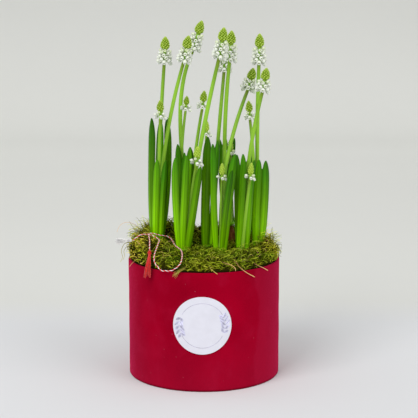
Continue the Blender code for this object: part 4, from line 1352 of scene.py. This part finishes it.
def twisted_twine(route, materials):
    """Two strands that turn about each other along the route."""
    fine = np.array(smooth_route(route, TWINE_FINE))
    _, first, second = frames_along(fine)
    turns = np.arange(len(fine)) * TWINE_FINE / TWINE_PITCH * 2.0 * math.pi
    builder = Builder()
    for number in range(2):
        angle = turns + math.pi * number
        offset = (first * np.cos(angle)[:, None] + second * np.sin(angle)[:, None]) * STRAND_OFFSET
        tube(builder, fine + offset, STRAND_RADIUS, 6, number)
    return builder.put("twisted_twine", materials, ["twine"]), fine


def tassel(name, points, material, node, seed, frizz, prongs):
    """A bundle of threads: tied head, waist, and threads that spread and end unevenly."""
    random = np.random.default_rng(seed)
    line = np.array(smooth_route([Vector(p) for p in points], 1.0))
    _, first, second = frames_along(line)
    along = np.linspace(0.0, 1.0, len(line))
    steps = [(Vector(b) - Vector(a)).length for a, b in zip(points, points[1:])]
    lengths = np.concatenate([[0.0], np.cumsum(steps)])
    hull = np.interp(along * lengths[-1], lengths, TASSEL_RADII)
    builder = Builder()
    for _ in range(TASSEL_THREADS):
        share = math.sqrt(random.random())
        a = random.uniform(0, 2 * math.pi)
        stop = int(len(line) * random.uniform(0.84, 1.0)) + 1
        ripple = random.uniform(0, 6.28)
        twist = random.uniform(-0.5, 0.5)
        radius = np.maximum(0.0, hull - 0.25) * share * (1.0 - 0.12 * prongs * along ** 2)
        angle = a + twist * along + 0.1 * np.sin(ripple + 9 * along)
        offset = first * (radius * np.cos(angle))[:, None] + second * (radius * np.sin(angle))[:, None]
        prong = 2.0 * math.pi * (random.integers(4) / 4 + 0.1)
        splay = 0.75 * prongs * (first[-1] * math.cos(prong) + second[-1] * math.sin(prong))
        stray = (splay + random.normal(0, frizz, 3)) * (along ** 2.5)[:, None]
        tube(builder, (line + offset + stray)[:stop], TASSEL_THREAD, 4, 0, random.random())
    loop = np.linspace(0, 2 * math.pi, 17)
    for at in (1, 2, 3):
        k = int(np.interp(at * 0.9 + 2.2, along * lengths[-1], np.arange(len(line))))
        around = np.outer(np.cos(loop), first[k]) + np.outer(np.sin(loop), second[k])
        tube(builder, line[k] + (hull[k] + 0.12) * around, 0.3, 6)
    return builder.put(name, [material], [node])


# Operators

class FLOWERBOX_OT_stage(bpy.types.Operator):
    """Pale floor and wall, soft lights and the camera"""

    bl_idname = "flower_box.stage"
    bl_label = "Stage and camera"

    def execute(self, context):
        scene = context.scene
        scene.view_settings.view_transform = "Standard"
        scene.world = bpy.data.worlds.new("soft_room")
        scene.world.use_nodes = True
        background = scene.world.node_tree.nodes["Background"]
        background.inputs["Color"].default_value = ROOM_LIGHT
        background.inputs["Strength"].default_value = ROOM_STRENGTH

        outline = [(FLOOR_FRONT, 0.0)]
        for a in np.linspace(0.0, math.pi / 2, 17):
            forward = FLOOR_BACK - FLOOR_CURVE + FLOOR_CURVE * math.sin(a)
            outline.append((forward, FLOOR_CURVE - FLOOR_CURVE * math.cos(a)))
        outline.append((FLOOR_BACK, WALL_TOP))
        mesh = bpy.data.meshes.new("floor_and_wall")
        points = [(x, y, z) for x in (-FLOOR_HALF, FLOOR_HALF) for y, z in outline]
        n = len(outline)
        mesh.from_pydata(points, [], [(i + n, i + n + 1, i + 1, i) for i in range(n - 1)])
        mesh.materials.append(wall_finish())
        mesh.shade_smooth()
        floor = bpy.data.objects.new("floor_and_wall", mesh)
        scene.collection.objects.link(floor)

        for name, spot, size, power in LIGHTS:
            light = bpy.data.lights.new(name, "AREA")
            light.size = size
            light.energy = power
            lamp = bpy.data.objects.new(name, light)
            lamp.location = spot
            lamp.rotation_euler = (Vector(LIGHTS_AIM) - Vector(spot)).to_track_quat("-Z", "Y").to_euler()
            scene.collection.objects.link(lamp)

        camera = bpy.data.cameras.new("camera")
        camera.sensor_width = 36.0
        camera.lens = FOCAL_LENGTH * camera.sensor_width
        camera.clip_end = 20.0
        view = bpy.data.objects.new("camera", camera)
        view.location = CAMERA_AT
        view.rotation_euler = (math.radians(CAMERA_TILT), 0.0, 0.0)
        scene.collection.objects.link(view)
        scene.camera = view
        return {"FINISHED"}


class FLOWERBOX_OT_twine(bpy.types.Operator):
    """The twisted red and white twine and the tassels at its ends"""

    bl_idname = "flower_box.twine"
    bl_label = "Twine and tassels"

    def execute(self, context):
        c = colours()
        red = finish("red_yarn", yarn_finish, "red_yarn", tuple(c.red_yarn), 0.7)
        white = finish("white_yarn", yarn_finish, "white_yarn", tuple(c.white_yarn), 0.25)
        route = twine_route()
        twine, fine = twisted_twine(route, [white, red])

        level = route[0].z
        white_points = [Vector((x, y, level + z)) for x, y, z in WHITE_TASSEL]
        left = tassel("tassel_white_threads", white_points, white, "tassel_white", 5, 0.9, 0)
        height = moss_surface()
        red_points = []
        for (x, y, z), radius in zip(RED_TASSEL, TASSEL_RADII):
            inside = math.hypot(x, y) < MOSS_REACH
            red_points.append(Vector((x, y, height(x, y) + radius + GAP if inside else z)))
        front = tassel("tassel_red_threads", red_points, red, "tassel_red", 6, 0.35, 4)
        return {"FINISHED"}


class FLOWERBOX_OT_box(bpy.types.Operator):
    """Velvet and card on the box, and the soil in it"""

    bl_idname = "flower_box.box"
    bl_label = "Box and soil"

    def execute(self, context):
        velvet_wall()
        dress("box_bottom", finish("card", card_finish))
        dress("soil", finish("soil", soil_finish))
        return {"FINISHED"}


class FLOWERBOX_OT_label(bpy.types.Operator):
    """The round paper label with a ring of small sprigs"""

    bl_idname = "flower_box.label"
    bl_label = "Label"

    def execute(self, context):
        paper_label()
        return {"FINISHED"}


class FLOWERBOX_OT_moss(bpy.types.Operator):
    """The moss: its mound, three shades of sprigs and dry threads"""

    bl_idname = "flower_box.moss"
    bl_label = "Moss"

    def execute(self, context):
        c = colours()
        clear = laid_on_moss()
        moss_mound()
        # The dark sprigs sit lowest and the light ones highest: painted shade deep in the moss, painted
        # light on its top.
        moss_sprigs("dark", tuple(c.moss_dark), 11, 1.0, 1.0, clear)
        moss_sprigs("middle", tuple(c.moss_middle), 12, 2.4, 0.8, clear)
        moss_sprigs("light", tuple(c.moss_light), 13, 3.6, 0.62, clear)
        wiry_strands(clear)
        return {"FINISHED"}


class FLOWERBOX_OT_bulbs(bpy.types.Operator):
    """Dry papery skin on the bulbs"""

    bl_idname = "flower_box.bulbs"
    bl_label = "Bulbs"

    def execute(self, context):
        for key in PLANTS:
            dress(f"bulb_{key}", finish("bulb", bulb_finish))
        return {"FINISHED"}


class FLOWERBOX_OT_leaves(bpy.types.Operator):
    """The tufts of strap leaves"""

    bl_idname = "flower_box.leaves"
    bl_label = "Leaves"

    def execute(self, context):
        for key, plant in PLANTS.items():
            leaf_tuft(key, plant)
        return {"FINISHED"}


class FLOWERBOX_OT_flowers(bpy.types.Operator):
    """The stalks with their buds, and the white bells"""

    bl_idname = "flower_box.flowers"
    bl_label = "Flowers"

    def execute(self, context):
        for key, plant in PLANTS.items():
            for number, scape in enumerate(plant["scapes"], 1):
                name = f"{key}{number}"
                scape_piece(name, plant, scape)
                bells_piece(name, plant, scape)
        return {"FINISHED"}


OPERATORS = (
    FLOWERBOX_OT_stage,
    FLOWERBOX_OT_twine,
    FLOWERBOX_OT_box,
    FLOWERBOX_OT_label,
    FLOWERBOX_OT_moss,
    FLOWERBOX_OT_bulbs,
    FLOWERBOX_OT_leaves,
    FLOWERBOX_OT_flowers,
)


class FLOWERBOX_PT_panel(bpy.types.Panel):
    """The steps that make the flower box, in order"""

    bl_label = "Flower Box"
    bl_idname = "FLOWERBOX_PT_panel"
    bl_space_type = "VIEW_3D"
    bl_region_type = "UI"
    bl_category = "Flower Box"

    def draw(self, context):
        for group in (colours(), sizes()):
            for key in group.__annotations__:
                self.layout.prop(group, key)
        for operator in OPERATORS:
            self.layout.operator(operator.bl_idname)


CLASSES = (FlowerBoxColours, FlowerBoxSizes, *OPERATORS, FLOWERBOX_PT_panel)


def register():
    for each in CLASSES:
        bpy.utils.register_class(each)
    bpy.types.Scene.flower_box_colours = PointerProperty(type=FlowerBoxColours)
    bpy.types.Scene.flower_box_sizes = PointerProperty(type=FlowerBoxSizes)


def unregister():
    del bpy.types.Scene.flower_box_sizes
    del bpy.types.Scene.flower_box_colours
    for each in reversed(CLASSES):
        bpy.utils.unregister_class(each)


def main():
    """Makes every piece."""
    register()
    for operator in OPERATORS:
        group, name = operator.bl_idname.split(".")
        getattr(getattr(bpy.ops, group), name)()
    bpy.context.view_layer.update()


if __name__ == "__main__":
    main()
